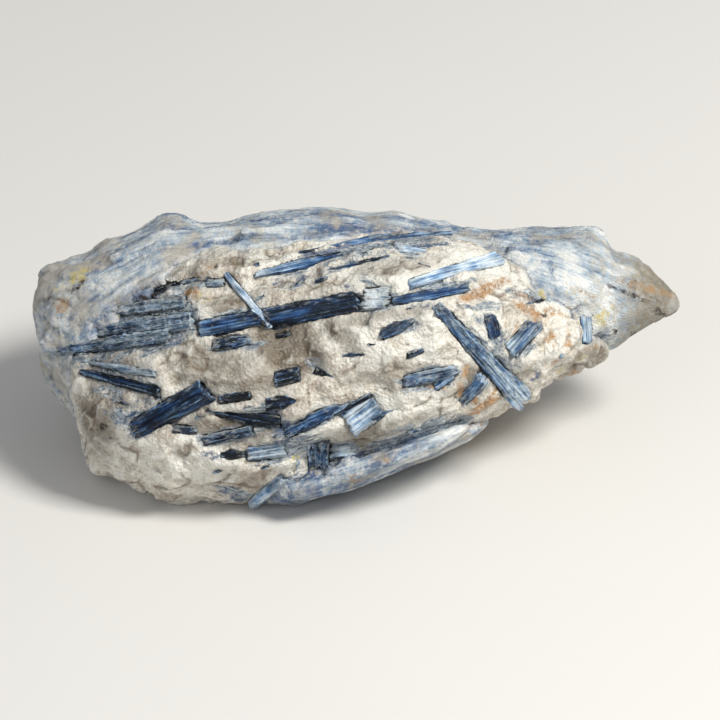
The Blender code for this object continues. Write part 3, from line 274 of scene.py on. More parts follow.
# Chips too small to be nodes of their own: centre on the face, length, width and turn in degrees.
# Each is set down on the quartz from ABOVE_FACE.
SMALL_CHIPS = [
    ((-20.2, 18.7), 1.0, 0.8, 20), ((-19.4, 12.2), 1.1, 0.5, 30), ((-12.4, 14.4), 1.8, 1.0, 40),
    ((-7.6, 15.6), 1.7, 0.8, 25), ((2.4, 3.0), 1.2, 0.5, -10), ((9.6, 10.0), 1.0, 0.4, 20),
    ((-31.0, -11.0), 1.5, 0.6, 10), ((-38.8, 3.2), 1.2, 0.4, 5), ((12.6, 18.6), 1.6, 0.5, -20),
    ((-28.0, -21.8), 1.4, 0.6, 15), ((-18.6, -21.0), 1.6, 0.6, 10), ((10.6, -13.8), 2.0, 0.6, 15),
    ((-46.4, -8.4), 2.0, 0.7, -15), ((-44.6, -10.6), 1.6, 0.6, 40), ((39.6, 0.6), 0.9, 0.4, 50),
    ((-12.2, -20.6), 1.2, 0.5, 80), ((30.0, -3.2), 1.0, 0.5, 60),
]
ABOVE_FACE = 60.0
CHIPS_MIXED = 0.45
CHIPS_SEED = 90

# Colours that the materials have beside those in the settings.
FROSTED_GRAIN = "#f3f0e9"
DULL_GRAIN = "#948874"
CLEAR_QUARTZ_AND_SHADE = "#6e6353"
HOLLOW_SHADE = "#7d705e"
CREASE_DIRT_AND_SHADE = "#65543f"
THREAD_TONES = (
    (0.30, "#18222d"), (0.40, "#3f4f60"), (0.49, "#7b8894"), (0.58, "#aeb5b6"), (0.70, "#dad8d0"),
)
BLUE_TINGE = "#93a5b8"
GREY_SEAM = "#6d7174"
RUST_CORE = "#8e6238"
QUARTZ_LICHEN = "#cdbb6a"
BLUE_SMEAR = "#3e5472"
DARK_PIT_AND_SHADE = "#2c2018"
CRUST_WHITE = "#e4e5e2"
CRUST_POWDER = "#dcdad3"
CRUST_SAND = "#bdb39f"
CRUST_HOLLOW_SHADE = "#565f6e"
CRUST_CREST = "#eceeee"
CRUST_RUST = "#a07c52"
CRUST_LICHEN = "#c2b268"
SLATE_TONES = ("#0b1117", "#1c2630", "#3b4854", "#718089", "#a9b3b7")
CRYSTAL_CLEFT_AND_SHADE = "#0b101a"
GROWN_QUARTZ = "#a9aaa5"
CRYSTAL_PIT = "#10171f"

# Depths of the finest relief, in metres, and indices of refraction.
GRIT_DEPTH = 0.00037
FIBRE_DEPTH = 0.0004
GROOVE_DEPTH = 0.00018
QUARTZ_IOR = 1.544
KYANITE_IOR = 1.6

# The stage: the floor's size and the nearest that the camera sees, in metres, and each light's
# place and size in metres, the setting with its power, and its colour.
FLOOR_SIZE = 6.0
CLIP_START = 0.05
SKY_COLOUR = "#f1f3f6"
LIGHTS = {
    "key_light": ((0.50, -0.28, 0.76), 0.26, "key", "#fffdf8"),
    "fill_light": ((-0.55, -0.75, 0.45), 0.60, "fill", "#eef4ff"),
}


def linear(hex_colour):
    """An sRGB hex colour as linear RGB."""
    parts = [int(hex_colour[i:i + 2], 16) / 255 for i in (1, 3, 5)]
    return tuple(p / 12.92 if p <= 0.04045 else ((p + 0.055) / 1.055) ** 2.4 for p in parts)


def length_property(name, description, default_mm, top_mm):
    """A length setting, kept in metres."""
    return bpy.props.FloatProperty(
        name=name, description=description, default=default_mm * MM, min=0.0, max=top_mm * MM,
        subtype="DISTANCE", unit="LENGTH", precision=5,
    )


def colour_property(name, description, hex_colour):
    """A colour setting, kept as linear RGB."""
    return bpy.props.FloatVectorProperty(
        name=name, description=description, default=linear(hex_colour), min=0.0, max=1.0, size=3,
        subtype="COLOR",
    )


class QuartzSettings(bpy.types.PropertyGroup):
    """Sizes and colours of the broken milky quartz."""

    mesh_step: length_property("Mesh step", "Spacing of the finished surface's points", 0.42, 2.0)
    lump: length_property("Lump", "Size of the broken lumps", 6.5, 20.0)
    grain: length_property("Grain", "Size of the quartz grains", 1.9, 6.0)
    relief: length_property("Relief", "Height of the broken lumps", 0.8, 3.0)
    growth: length_property("Growth", "How far it grows toward the crust", 0.34, 0.6)
    cream: colour_property("Cream", "The quartz's main colour", "#cec7b9")
    white: colour_property("White", "Clean grains", "#e6e3d9")
    beige: colour_property("Beige", "Weathered and shaded quartz", "#a4978a")
    rust: colour_property("Rust", "Iron stain", "#b68e60")


class CrustSettings(bpy.types.PropertyGroup):
    """Sizes and colours of the pale bladed kyanite."""

    mesh_step: length_property("Mesh step", "Spacing of the finished surface's points", 0.46, 2.0)
    blade: length_property("Blade", "Width of the grown-together blades", 1.7, 6.0)
    run: length_property("Run", "Length of those blades", 13.0, 60.0)
    relief: length_property("Relief", "Height of the steps between blades", 0.5, 3.0)
    growth: length_property("Growth", "How far it closes the clearance to the quartz", 0.34, 0.6)
    pale: colour_property("Pale blue", "The crust's main colour", "#9faebb")
    whitish: colour_property("Whitish", "Worn and powdery blades", "#c0c9ce")
    mid: colour_property("Mid blue", "Fresher streaks", "#778ca3")
    deep: colour_property("Deep blue", "Thin fresh blades", "#435c80")
    brown: colour_property("Brown tip", "The weathered narrow tip", "#74674f")


class BladeSettings(bpy.types.PropertyGroup):
    """Sizes and colours of the separate kyanite crystals."""

    mesh_step: length_property("Mesh step", "Spacing of the finished surface's points", 0.17, 1.0)
    striation: length_property("Striation", "Spacing of the grooves along a crystal", 0.5, 3.0)
    groove: length_property("Groove", "Depth of those grooves", 0.12, 0.5)
    parting: length_property("Parting", "Spacing of the breaks across a crystal", 2.6, 12.0)
    black: colour_property("Blue-black", "The deepest tone", "#050c16")
    navy: colour_property("Navy", "Dark crystals", "#0c1d36")
    blue: colour_property("Blue", "Lit dark crystals", "#224877")
    steel: colour_property("Steel", "Grey-blue streaks", "#4d76a4")
    silver: colour_property("Silver", "Pale streaks", "#9abad9")
    white: colour_property("White", "Powdery edges", "#dee8f0")


class StageSettings(bpy.types.PropertyGroup):
    """The floor, the lights and the camera."""

    floor: colour_property("Floor", "The floor's colour", "#d9d7d3")
    sky: bpy.props.FloatProperty(
        name="Sky", description="Strength of the even light all round", default=0.40, min=0.0, max=5.0,
    )
    key: bpy.props.FloatProperty(
        name="Key light", description="Soft light from above, right and behind", default=9.6, min=0.0,
        max=200.0, subtype="POWER", unit="POWER",
    )
    fill: bpy.props.FloatProperty(
        name="Fill light", description="Soft light from the front left", default=1.6, min=0.0,
        max=200.0, subtype="POWER", unit="POWER",
    )
    distance: bpy.props.FloatProperty(
        name="Camera distance", description="From the camera to the stone", default=1.2, min=0.3,
        max=5.0, subtype="DISTANCE", unit="LENGTH",
    )
    frame_width: length_property("Frame width", "Width of what the camera sees", 144.0, 600.0)


# Shapes --------------------------------------------------------------------------------------


def select_only(piece):
    """Selects one piece and makes it the active one."""
    bpy.ops.object.select_all(action="DESELECT")
    piece.select_set(True)
    bpy.context.view_layer.objects.active = piece


def copy_of(node, name):
    """A merged copy of a node's mesh, as a new piece."""
    made = bpy.data.objects.new(name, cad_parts[node].data.copy())
    bpy.context.scene.collection.objects.link(made)
    made.data.materials.clear()
    select_only(made)
    bpy.ops.object.mode_set(mode="EDIT")
    bpy.ops.mesh.select_all(action="SELECT")
    bpy.ops.mesh.remove_doubles(threshold=0.002 * MM)
    bpy.ops.object.mode_set(mode="OBJECT")
    return made


def apply(piece, kind, **settings):
    """Adds a modifier to a piece and applies it."""
    select_only(piece)
    bpy.ops.object.modifier_add(type=kind)
    modifier = piece.modifiers[-1]
    for name, value in settings.items():
        setattr(modifier, name, value)
    bpy.ops.object.modifier_apply(modifier=modifier.name)


def lighten(piece):
    """Merges the flattest faces of a heavy piece, so that it has MOST_TRIANGLES at most."""
    triangles = sum(len(face.vertices) - 2 for face in piece.data.polygons)
    if triangles > MOST_TRIANGLES:
        apply(piece, "DECIMATE", ratio=MOST_TRIANGLES / triangles)


def points_of(piece):
    """A piece's points, in millimetres."""
    flat = np.empty(len(piece.data.vertices) * 3, dtype=np.float32)
    piece.data.vertices.foreach_get("co", flat)
    return flat.reshape(-1, 3).astype(np.float64) / MM


def normals_of(piece):
    """The directions in which a piece's surface faces at its points."""
    flat = np.empty(len(piece.data.vertices) * 3, dtype=np.float32)
    piece.data.vertex_normals.foreach_get("vector", flat)
    return flat.reshape(-1, 3).astype(np.float64)


def put_points(piece, points):
    """Sets a piece's points, held inside the solid model's box."""
    low, high = (np.array(corner) / MM for corner in CAD_BOX)
    held = np.clip(points, low + BOX_MARGIN, high - BOX_MARGIN)
    piece.data.vertices.foreach_set("co", (held * MM).astype(np.float32).ravel())
    piece.data.update()


def face_places(points):
    """Points as x, v and w on the show face, in millimetres."""
    return (points - FACE_CENTRE) @ FACE


def neighbour_mean(piece, values, times):
    """Each point's values averaged with its neighbours', over and over."""
    edges = np.empty(len(piece.data.edges) * 2, dtype=np.int64)
    piece.data.edges.foreach_get("vertices", edges)
    first, second = edges.reshape(-1, 2).T
    count = len(values)
    degree = np.bincount(first, minlength=count) + np.bincount(second, minlength=count)
    degree = np.maximum(degree, 1)[:, None]
    values = values.reshape(count, -1)
    for _ in range(times):
        total = np.empty_like(values)
        for i in range(values.shape[1]):
            column = values[:, i]
            total[:, i] = np.bincount(first, column[second], count)
            total[:, i] += np.bincount(second, column[first], count)
        values = total / degree
    return values


def hollows(piece, times):
    """How far each point lies below (positive) or above its surroundings, in millimetres."""
    points = points_of(piece)
    return ((neighbour_mean(piece, points, times) - points) * normals_of(piece)).sum(axis=1)


def store(piece, name, values):
    """Keeps a number or a vector for each point as an attribute of the mesh."""
    kind, key = ("FLOAT", "value") if values.ndim == 1 else ("FLOAT_VECTOR", "vector")
    layer = piece.data.attributes.new(name, kind, "POINT")
    layer.data.foreach_set(key, values.astype(np.float32).ravel())


def drift(places, size, seed):
    """Smooth random heights from -1 to 1 whose hills are size across."""
    count = DRIFT_REPEAT
    table = np.random.default_rng(seed).uniform(-1, 1, (count, count, count))
    scaled = places / np.asarray(size, dtype=float)
    cell = np.floor(scaled).astype(np.int64)
    share = scaled - cell
    share = share * share * (3 - 2 * share)
    height = np.zeros(len(places))
    for corner in itertools.product((0, 1), repeat=3):
        x, y, z = ((cell + corner) % count).T
        height += np.prod(np.where(corner, share, 1 - share), axis=1) * table[x, y, z]
    return height


def grains(places, size, seed, steps=1.0):
    """Broken grains about size across: the height of each one's tilted flat, from -1 to 1, and the
    distance to the next grain as a share of size. Steps sets how far the flats step apart."""
    height, edge, _, _ = cells(places, size, seed, steps)
    return height, edge


def scoops(places, size, seed):
    """Hollow flakes about size across that meet in sharp ridges: their height from 0 to 1, how near
    the ridge is as a share of size, and each flake's own shade."""
    _, edge, shade, far = cells(places, size, seed, 1.0)
    return np.clip(far, 0, 1) ** 2, edge, shade


def cells(places, size, seed, steps):
    """For each place: the height of its cell's tilted flat, the gap to the next cell's middle, the
    cell's shade from -0.5 to 0.5 and the distance to the cell's middle."""
    count = CELL_REPEAT
    rng = np.random.default_rng(seed)
    jitter = rng.uniform(0.1, 0.9, (count, count, count, 3))
    tilt = rng.normal(size=(count, count, count, 3))
    tilt /= np.linalg.norm(tilt, axis=-1, keepdims=True)
    step = rng.uniform(-0.5, 0.5, (count, count, count))
    scaled = places / np.asarray(size, dtype=float)
    cell = np.floor(scaled).astype(np.int64)
    near = np.full(len(places), 9.0)
    second = near.copy()
    height, shade = np.zeros(len(places)), np.zeros(len(places))
    for offset in itertools.product((-1, 0, 1), repeat=3):
        at = cell + offset
        x, y, z = (at % count).T
        away = scaled - (at + jitter[x, y, z])
        far = np.sqrt((away ** 2).sum(axis=1))
        closer = far < near
        second = np.where(closer, near, np.minimum(second, far))
        shade = np.where(closer, step[x, y, z], shade)
        flat = (away * tilt[x, y, z]).sum(axis=1) + steps * step[x, y, z]
        height = np.where(closer, flat, height)
        near = np.where(closer, far, near)
    return np.clip(height, -1, 1), second - near, shade, near


def turned(aside, above, turn):
    """Face distances measured along and across a direction, given in degrees."""
    cosine, sine = math.cos(math.radians(turn)), math.sin(math.radians(turn))
    return aside * cosine + above * sine, above * cosine - aside * sine


def reach(places, spots):
    """How strongly each place on the face lies in a list of oval spots, from 0 to 1."""
    found = np.zeros(len(places))
    for x, v, wide, high, turn, strength in spots:
        along, across = turned(places[:, 0] - x, places[:, 1] - v, turn)
        inside = np.clip(1.7 - np.hypot(along / wide, across / high), 0, 1)
        found = np.maximum(found, strength * inside)
    return found


def threads(places):
    """How strongly kyanite threads run through each place, and places along and across them."""
    found, fibre = np.zeros(len(places)), places.copy()
    for i, zone in enumerate(THREADS):
        here = reach(places, [zone])
        along, across = turned(places[:, 0], places[:, 1], zone[4])
        stronger = here > found
        fibre[stronger] = np.stack((along, across + 23.0 * i, places[:, 2]), axis=1)[stronger]
        found = np.maximum(found, here)
    return found, fibre


def store_stains(piece, places):
    """Keeps where the stains lie on a piece, and the dark pits, which are partly painted shade."""
    stains = {"rust": RUST, "lichen": LICHEN, "pits": DARK_PITS_AND_SHADE, "blue": BLUE_PATCHES}
    for name, spots in stains.items():
        store(piece, name, reach(places, spots))


def tree_of(nodes):
    """A search tree over the surfaces of some nodes."""
    points, faces = [], []
    for node in nodes:
        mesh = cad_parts[node].data
        first = len(points)
        points += [vert.co.copy() for vert in mesh.vertices]
        faces += [[first + i for i in face.vertices] for face in mesh.polygons]
    return BVHTree.FromPolygons(points, faces)


def nearest_on(tree, points, limit):
    """The nearest place on a tree's surface to each point, and its distance, both in millimetres."""
    places, away = points.copy(), np.full(len(points), float(limit))
    for i, point in enumerate(points * MM):
        found, _, _, distance = tree.find_nearest(Vector(point), limit * MM)
        if found is not None:
            places[i] = np.array(found) / MM
            away[i] = distance / MM
    return places, away


def hug_crystals(points, normals):
    """Closes the clearance round the crystals: nearby points swell or sink unevenly, then move up to
    them and a little way in. Also returns how near each point is to a crystal, from 0 to 1."""
    tree = tree_of([*DARK_BLADES, *PALE_BLADES])
    _, away = nearest_on(tree, points, 2.4)
    collar = np.clip(1.5 - away / 1.1, 0, 1) * (0.35 + 0.75 * drift(points, 1.7, 42))
    points = points + normals * collar[:, None] * 0.6
    places, away = nearest_on(tree, points, 1.6)
    return pulled(points, places, away, 0.3), np.exp(-away / 0.7)


def pulled(points, places, away, beyond):
    """Moves the points that are within about a millimetre of a neighbour up to their nearest places
    on it, and about as far beyond them as is given."""
    pull = np.clip((1.3 - away) / 0.4, 0, 1) * (1.0 + beyond / np.maximum(away, 0.3))
    return points + (places - points) * pull[:, None]


def drop_crumbs(piece):
    """Deletes loose bits that are far smaller than the piece."""
    bm = bmesh.new()
    bm.from_mesh(piece.data)
    left, islands = set(bm.verts), []
    while left:
        found, front = [], [left.pop()]
        while front:
            vert = front.pop()
            found.append(vert)
            near = {edge.other_vert(vert) for edge in vert.link_edges} & left
            front.extend(near)
            left -= near
        islands.append(found)
    least = CRUMB_SHARE * max(len(found) for found in islands)
    crumbs = [vert for found in islands if len(found) < least for vert in found]
    bmesh.ops.delete(bm, geom=crumbs, context="VERTS")
    bm.to_mesh(piece.data)
    bm.free()


def hand_over(piece, finish, slot, *nodes):
    """Gives a finished piece its material and its place in the frame."""
    piece.data.materials.clear()
    piece.data.materials.append(finish)
    select_only(piece)
    bpy.ops.object.shade_smooth()
    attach(piece, "root")
    if nodes:
        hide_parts(*nodes)


def stone_flow(places, turn):
    """Places along the crust's blades: they lie at a given turn, or, when that is 0, follow the
    stone's bowed upper edge."""
    flow = places.copy()
    if turn:
        flow[:, 0], flow[:, 1] = turned(places[:, 0], places[:, 1], turn)
    else:
        flow[:, 1] -= np.interp(places[:, 0], *UPPER_EDGE)
    flow[:, 1] += 0.8 * drift(flow, 16.0, 11)
    flow[:, 2] += 0.8 * drift(flow, 16.0, 12)
    return flow


def quartz_piece(settings):
    """The quartz: broken lumps, grains and fine grit, snug round the crystals."""
    piece = copy_of("quartz_matrix", "milky_quartz_stone")
    apply(piece, "REMESH", mode="VOXEL", voxel_size=settings.mesh_step)
    drop_crumbs(piece)
    points, normals = points_of(piece), normals_of(piece)
    places = face_places(points)
    lump, grain, relief = settings.lump / MM, settings.grain / MM, settings.relief / MM

    # Lumps carry hollow flats, small flakes and tilted faces, on bent places so that no edge runs
    # straight. The stone is uneven by zones, and sugary with small flakes in some of them.
    bent = points + np.stack([drift(points, lump, seed) for seed in (1, 2, 3)], axis=1) * 1.4
    bent += np.stack([drift(points, grain, seed) for seed in (51, 52, 53)], axis=1) * 0.35
    lumps, lump_edge, lump_shade = scoops(bent, lump * 1.3, 4)
    flats, flat_edge, flat_shade = scoops(bent, (grain * 2.4, grain * 1.7, grain * 1.7), 5)
    flakes, _, _ = scoops(points, grain * 0.8, 6)
    faces, _ = grains(bent, grain * 2.2, 44, 0.35)
    calm = reach(places, CALM)
    uneven = np.clip(0.65 + 0.8 * drift(points, 13.0, 8), 0.2, 1) * (1 - 0.6 * calm)
    sugary = np.clip(0.5 + 1.4 * drift(points, 8.0, 10), 0.1, 1) * (1 - 0.7 * calm)
    crease = np.exp(-lump_edge / 0.07) * np.clip(0.75 + 1.5 * drift(points, 5.0, 9), 0, 1)
    height = uneven * (0.4 - 2.0 * lumps) + (2.6 * flats - 0.5) * (1 - 0.75 * calm)
    height += (0.45 * flakes - 0.11) * (0.35 + 0.65 * sugary) + 0.05 * drift(points, 0.9, 7)
    height += 0.9 * faces * (1 - 0.5 * calm)

    # The relief fades beside the crystals, and strands stand out where threads run through it.
    _, away = nearest_on(tree_of([*DARK_BLADES, *PALE_BLADES]), points, 3.0)
    height = relief * np.clip(height, -1.4, 0.9) * np.clip(away / 2.4, 0.35, 1)
    threaded, thread_places = threads(places)
    strands, strand_edge = grains(thread_places, (5.0, 0.8, 0.8), 43)
    strands = 0.3 * strands - 0.15 * np.exp(-strand_edge / 0.1)
    height = height * (1 - 0.6 * threaded) + threaded * strands
    points += normals * (settings.growth / MM + height)[:, None]

    # It closes up to the crystals and the crust, and what moved is smoothed.
    loose = points
    points, beside = hug_crystals(points, normals)
    crust_places, away = nearest_on(tree_of(CRUST_NODES), points, 4.0)
    points = pulled(points, crust_places, away, 0.2)
    moved = np.clip(np.linalg.norm(points - loose, axis=1) / 0.6, 0, 1)
    points += (neighbour_mean(piece, points, 4) - points) * 0.85 * moved[:, None]
    put_points(piece, points)
    apply(piece, "SMOOTH", factor=0.22, iterations=1)

    places = face_places(points_of(piece))
    threaded, thread_places = threads(places)
    store(piece, "hollow", np.clip(hollows(piece, 14) / 0.5, -1, 1) * (1 - 0.6 * moved))
    store(piece, "crease", crease * (1 - moved))
    store(piece, "lump", lump_shade + 0.5)
    store(piece, "flat", flat_shade + 0.5)
    store(piece, "flat_edge", np.exp(-flat_edge / 0.06) * (1 - moved))
    store(piece, "sugary", sugary)
    store(piece, "threads", threaded)
    store(piece, "fibre", thread_places)
    store(piece, "beside", beside)
    store(piece, "other", np.exp(-away / 1.3))
    store(piece, "smoky", reach(places, SMOKY_AND_SHADED))
    store(piece, "clean", reach(places, CLEAN))
    store_stains(piece, places)
    lighten(piece)
    return piece


def crust_piece(node, name, settings, turn=0.0):
    """Bladed kyanite: long flat-topped laths side by side, breaking into lumps at both ends. A turn
    sets how its blades lie, in degrees."""
    piece = copy_of(node, name)
    apply(piece, "REMESH", mode="VOXEL", voxel_size=settings.mesh_step)
    drop_crumbs(piece)

    # The solid's ridges are eased, apart from beside the quartz.
    points = points_of(piece)
    _, away = nearest_on(tree_of(["quartz_matrix"]), points, 4.0)
    eased = neighbour_mean(piece, points, 24) - points
    put_points(piece, points + eased * 0.85 * np.clip((away - 1.0) / 2.5, 0, 1)[:, None])

    # Wide laths carry narrow ones and fine ribs. Lumps with knobs on them take over at the ends.
    points, normals = points_of(piece), normals_of(piece)
    places = face_places(points)
    flow = stone_flow(places, turn)
    blade, run, relief = settings.blade / MM, settings.run / MM, settings.relief / MM
    wide, wide_edge = grains(flow, (run * 1.6, blade * 1.3, blade * 1.3), 13, 0.7)
    narrow, narrow_edge = grains(flow, (run * 0.9, blade * 0.55, blade * 0.55), 14)
    fine = drift(flow, (run * 0.6, blade * 0.26, blade * 0.26), 18)
    lumps, lump_edge = grains(points, blade * 3.2, 15, 0.6)
    knobs, _ = grains(points, blade * 1.3, 16)
    left_end = np.clip((-places[:, 0] - ROUGH_ENDS) / 8.0, 0, 0 if turn else 1)
    rough = np.maximum(left_end, np.clip((places[:, 0] - ROUGH_ENDS) / 8.0, 0, 0.7))
    laths = 0.36 * wide - 0.22 * np.exp(-wide_edge / 0.05) + 0.4 * narrow + 0.24 * fine
    laths -= 0.2 * np.exp(-narrow_edge / 0.08)
    broken = 1.1 * lumps - 0.5 * np.exp(-lump_edge / 0.05) + 0.4 * knobs
    height = relief * (laths * (1 - rough) + broken * rough) + 0.07 * drift(points, 1.1, 17)
    points += normals * (settings.growth / MM + np.clip(height, -0.8, 0.45))[:, None]
    points, _ = hug_crystals(points, normals)
    put_points(piece, points)
    apply(piece, "SMOOTH", factor=0.3, iterations=1)

    places = face_places(points_of(piece))
    # Paler toward the right end: partly the crust's own colour, partly painted light on the side the
    # key light comes from. The bundle is darker.
    paler = np.interp(places[:, 0], (-10, 40), (-0.08, 0.13)) - (0.14 if turn else 0.0)
    store(piece, "hollow", np.clip(hollows(piece, 12) / 0.5, -1, 1))
    store(piece, "fibre", stone_flow(places, turn))
    store(piece, "rough", rough)
    store(piece, "contrast", np.full(len(points), 1.6 if turn else 1.1))
    store(piece, "paler", paler)
    store(piece, "other", np.exp(-away / 1.3))
    store_stains(piece, places)
    lighten(piece)
    return piece


def along_crystals(points, blades, seed):
    """Lays points out along their crystals. Each belongs to the one whose middle line is nearest,
    measured in its widths. Returns places along, across and out of it, the way it runs, its tone,
    how near its end is, from -1 at the start to 1, and how near its sides are, from 0 to 1."""
    places = face_places(points)
    shares, asides = [], []
    for (start, end, width, _) in blades:
        line = np.array(end) - np.array(start)
        beside = places[:, :2] - np.array(start)
        share = beside @ line / (line @ line)
        asides.append(np.hypot(*(beside - np.clip(share, 0, 1)[:, None] * line).T) / width)
        shares.append(share)
    nearest = np.argmin(asides, axis=0)

    fibre, runs = np.zeros_like(points), np.zeros_like(points)
    tone, ends = np.zeros(len(points)), np.zeros(len(points))
    rim = np.clip((np.min(asides, axis=0) - 0.28) / 0.2, 0, 1)
    for i, (start, end, _, tones) in enumerate(blades):
        mine = nearest == i
        if not mine.any():
            continue
        line = np.array(end) - np.array(start)
        length = np.hypot(*line)
        reached = shares[i][mine] * length
        slope = np.polyfit(reached, places[mine, 2], 1)[0] if mine.sum() > 2 else 0
        along = FACE @ np.array((*(line / length), slope))
        along /= np.linalg.norm(along)
        out = OUT - along * (OUT @ along)
        out /= np.linalg.norm(out)
        axes = np.stack((along, np.cross(out, along), out), axis=1)
        fibre[mine] = (points[mine] - FACE_CENTRE) @ axes + (0.0, 37.0 * seed + 11.0 * i, 0.0)
        runs[mine] = along
        tone[mine] = tones[0] + (tones[1] - tones[0]) * np.clip(shares[i][mine], 0, 1)
        ends[mine] = np.clip((reached - length) / 1.5 + 1, 0, 1) - np.clip(1 - reached / 1.5, 0, 1)
    return fibre, runs, tone, ends, rim


def crystals(piece, blades, settings, seed, mixed):
    """Gives a piece of one or more crystals the grooves along their length and their broken ends.
    Seed sets their random relief, and mixed is the share of quartz grown into them."""
    apply(piece, "REMESH", mode="VOXEL", voxel_size=settings.mesh_step)
    apply(piece, "SMOOTH", factor=0.5, iterations=2)
    points, normals = points_of(piece), normals_of(piece)
    fibre, runs, tone, ends, rim = along_crystals(points, blades, seed)

    # Ribs and slats run along each crystal, and partings cross it.
    striation, groove = settings.striation / MM, settings.groove / MM
    ribs = drift(fibre, (9.0, striation, striation * 1.6), seed + 21)
    fine = drift(fibre, (5.0, striation * 0.5, striation * 0.8), seed + 22)
    slats, slat_edge = grains(fibre, (16.0, striation * 2.4, striation * 2.4), seed + 23)
    parting, part_edge = grains(fibre, (settings.parting / MM, 9.0, 9.0), seed + 24)
    slatted = 0.9 * (1 - 0.7 * mixed)
    height = groove * (0.6 * ribs + 0.35 * fine + slatted * slats + 0.3 * parting)
    clefts = 0.5 * (1 - mixed) * np.exp(-slat_edge / 0.08) + 0.6 * np.exp(-part_edge / 0.02)
    height -= groove * clefts
    height += 0.12 * drift(fibre, (4.0, 2.0, 2.0), seed + 26)

    # Its sides are notched, and its edges worn. Mixed crystals are lumpy too.
    sides = np.clip(1.3 * np.abs((normals * np.cross(runs, OUT)).sum(axis=1)) - 0.3, 0, 1)
    notches, _ = grains(fibre, (2.6, 1.4, 1.4), seed + 29)
    uneven = 0.22 * notches + 0.22 * drift(fibre, (3.4, 9.0, 9.0), seed + 30) - 0.1
    height += sides * uneven * (0.5 + mixed)
    lumpy, _ = grains(fibre, (1.4, 0.9, 0.9), seed + 27)
    height += 0.35 * mixed * lumpy
    chipped = np.clip(drift(fibre, (2.2, 1.2, 1.2), seed + 28) + 0.1, 0, 1)
    height -= (0.25 + 0.35 * mixed) * (np.clip(-hollows(piece, 6) / 0.16, 0, 1) * chipped)
    points += normals * np.clip(height, -0.5, 0.24)[:, None]

    # The ends break off in steps and splinters.
    splits, _ = grains(fibre, (30.0, striation * 1.5, striation * 1.5), seed + 25)
    steps, _ = grains(fibre, (30.0, striation * 3.6, striation * 3.6), seed + 31)
    broken = 0.1 - 0.3 * mixed + 0.3 * steps + (0.1 + 0.7 * mixed) * splits
    points -= runs * (ends * broken * (0.9 + 0.5 * mixed))[:, None]
    put_points(piece, points)

    _, away = nearest_on(tree_of(["quartz_matrix", *CRUST_NODES]), points, 1.2)
    powder = np.maximum(np.clip(1.3 - away / 0.65, 0, 1), 0.7 * np.maximum(rim, np.abs(ends)))
    store(piece, "edge", np.clip(-hollows(piece, 6) / 0.16, -1, 1))
    store(piece, "powder", powder)
    store(piece, "mixed", np.full(len(points), mixed))
    store(piece, "fibre", fibre)
    store(piece, "tone", tone)
    return piece


def chips_piece(surface, settings):
    """Small broken blades that lie in the quartz, each a rough flat chip set in its surface."""
    chips, rows = [], []
    rng = np.random.default_rng(31)
    for (x, v), length, width, turn in SMALL_CHIPS:
        start = Vector((FACE_CENTRE + FACE @ np.array((x, v, ABOVE_FACE))) * MM)
        hit, normal, _, _ = surface.ray_cast(start, Vector(-OUT))
        if hit is None:
            raise ValueError(f"no quartz under the chip at {x}, {v}")
        bpy.ops.object.select_all(action="DESELECT")
        bpy.ops.mesh.primitive_cube_add(size=1.0)
        chip = bpy.context.object
        line = np.array((math.cos(math.radians(turn)), math.sin(math.radians(turn))))
        along = Vector(FACE @ np.array((*line, 0.0)))
        normal = (normal + Vector(OUT)).normalized()
        along = (along - normal * along.dot(normal)).normalized()
        axes = Matrix((along, normal.cross(along), normal)).transposed().to_4x4()
        size = Matrix.Diagonal((length * MM * 1.3, width * MM * 1.3, 0.9 * MM, 1.0))
        chip.data.transform(Matrix.Translation(hit) @ axes @ size)
        points = points_of(chip)
        put_points(chip, points + rng.uniform(-0.2, 0.2, points.shape) * width)
        chips.append(chip)
        tone = rng.uniform(0.04, 0.5)
        middle, half = np.array((x, v)), line * length / 2
        rows.append((tuple(middle - half), tuple(middle + half), width * 1.3, (tone, tone)))
    bpy.ops.object.select_all(action="DESELECT")
    for chip in chips:
        chip.select_set(True)
    bpy.context.view_layer.objects.active = chips[0]
    bpy.ops.object.join()
    chips[0].name = "small_kyanite_chips"
    return crystals(chips[0], rows, settings, CHIPS_SEED, CHIPS_MIXED)


# Materials -----------------------------------------------------------------------------------


def fresh_material(name):
    made = bpy.data.materials.new(name)
    made.use_nodes = True
    made.node_tree.nodes.clear()
    return made


def add(tree, kind, inputs=None, out=0, stops=(), **settings):
    """Adds a node with its settings, values and links, and returns one of its outputs."""
    node = tree.nodes.new("ShaderNode" + kind)
    for name, value in settings.items():
        setattr(node, name, value)
    for socket, value in (inputs or {}).items():
        target = node.inputs[socket]
        if isinstance(value, bpy.types.NodeSocket):
            tree.links.new(value, target)
        elif isinstance(value, tuple) and len(value) == 3 and target.type == "RGBA":
            target.default_value = (*value, 1.0)
        else:
            target.default_value = value
    if stops:
        ramp = node.color_ramp
        while len(ramp.elements) < len(stops):
            ramp.elements.new(1.0)
        for element, (position, colour) in zip(ramp.elements, stops):
            element.position = position
            element.color = (*colour, 1.0)
    return node.outputs[out] if node.outputs else node


def per(size_mm):
    """The scale that repeats a pattern on Object coordinates every size_mm millimetres."""
    return 1.0 / (size_mm * MM)


def summed(tree, start, *parts):
    """The start plus each part times its weight."""
    for part, weight in parts:
        start = add(tree, "Math", {0: part, 1: weight, 2: start}, operation="MULTIPLY_ADD")
    return start


def streaks(tree, fibre, size, detail, roughness, distortion=0.0):
    """Noise drawn out along the crystals: size is its length, width and depth in millimetres."""
    drawn_out = add(tree, "Mapping", {"Vector": fibre, "Scale": tuple(1 / length for length in size)})
    return add(tree, "TexNoise", {
        "Vector": drawn_out, "Scale": 1.0, "Detail": detail, "Roughness": roughness,
        "Distortion": distortion,
    })


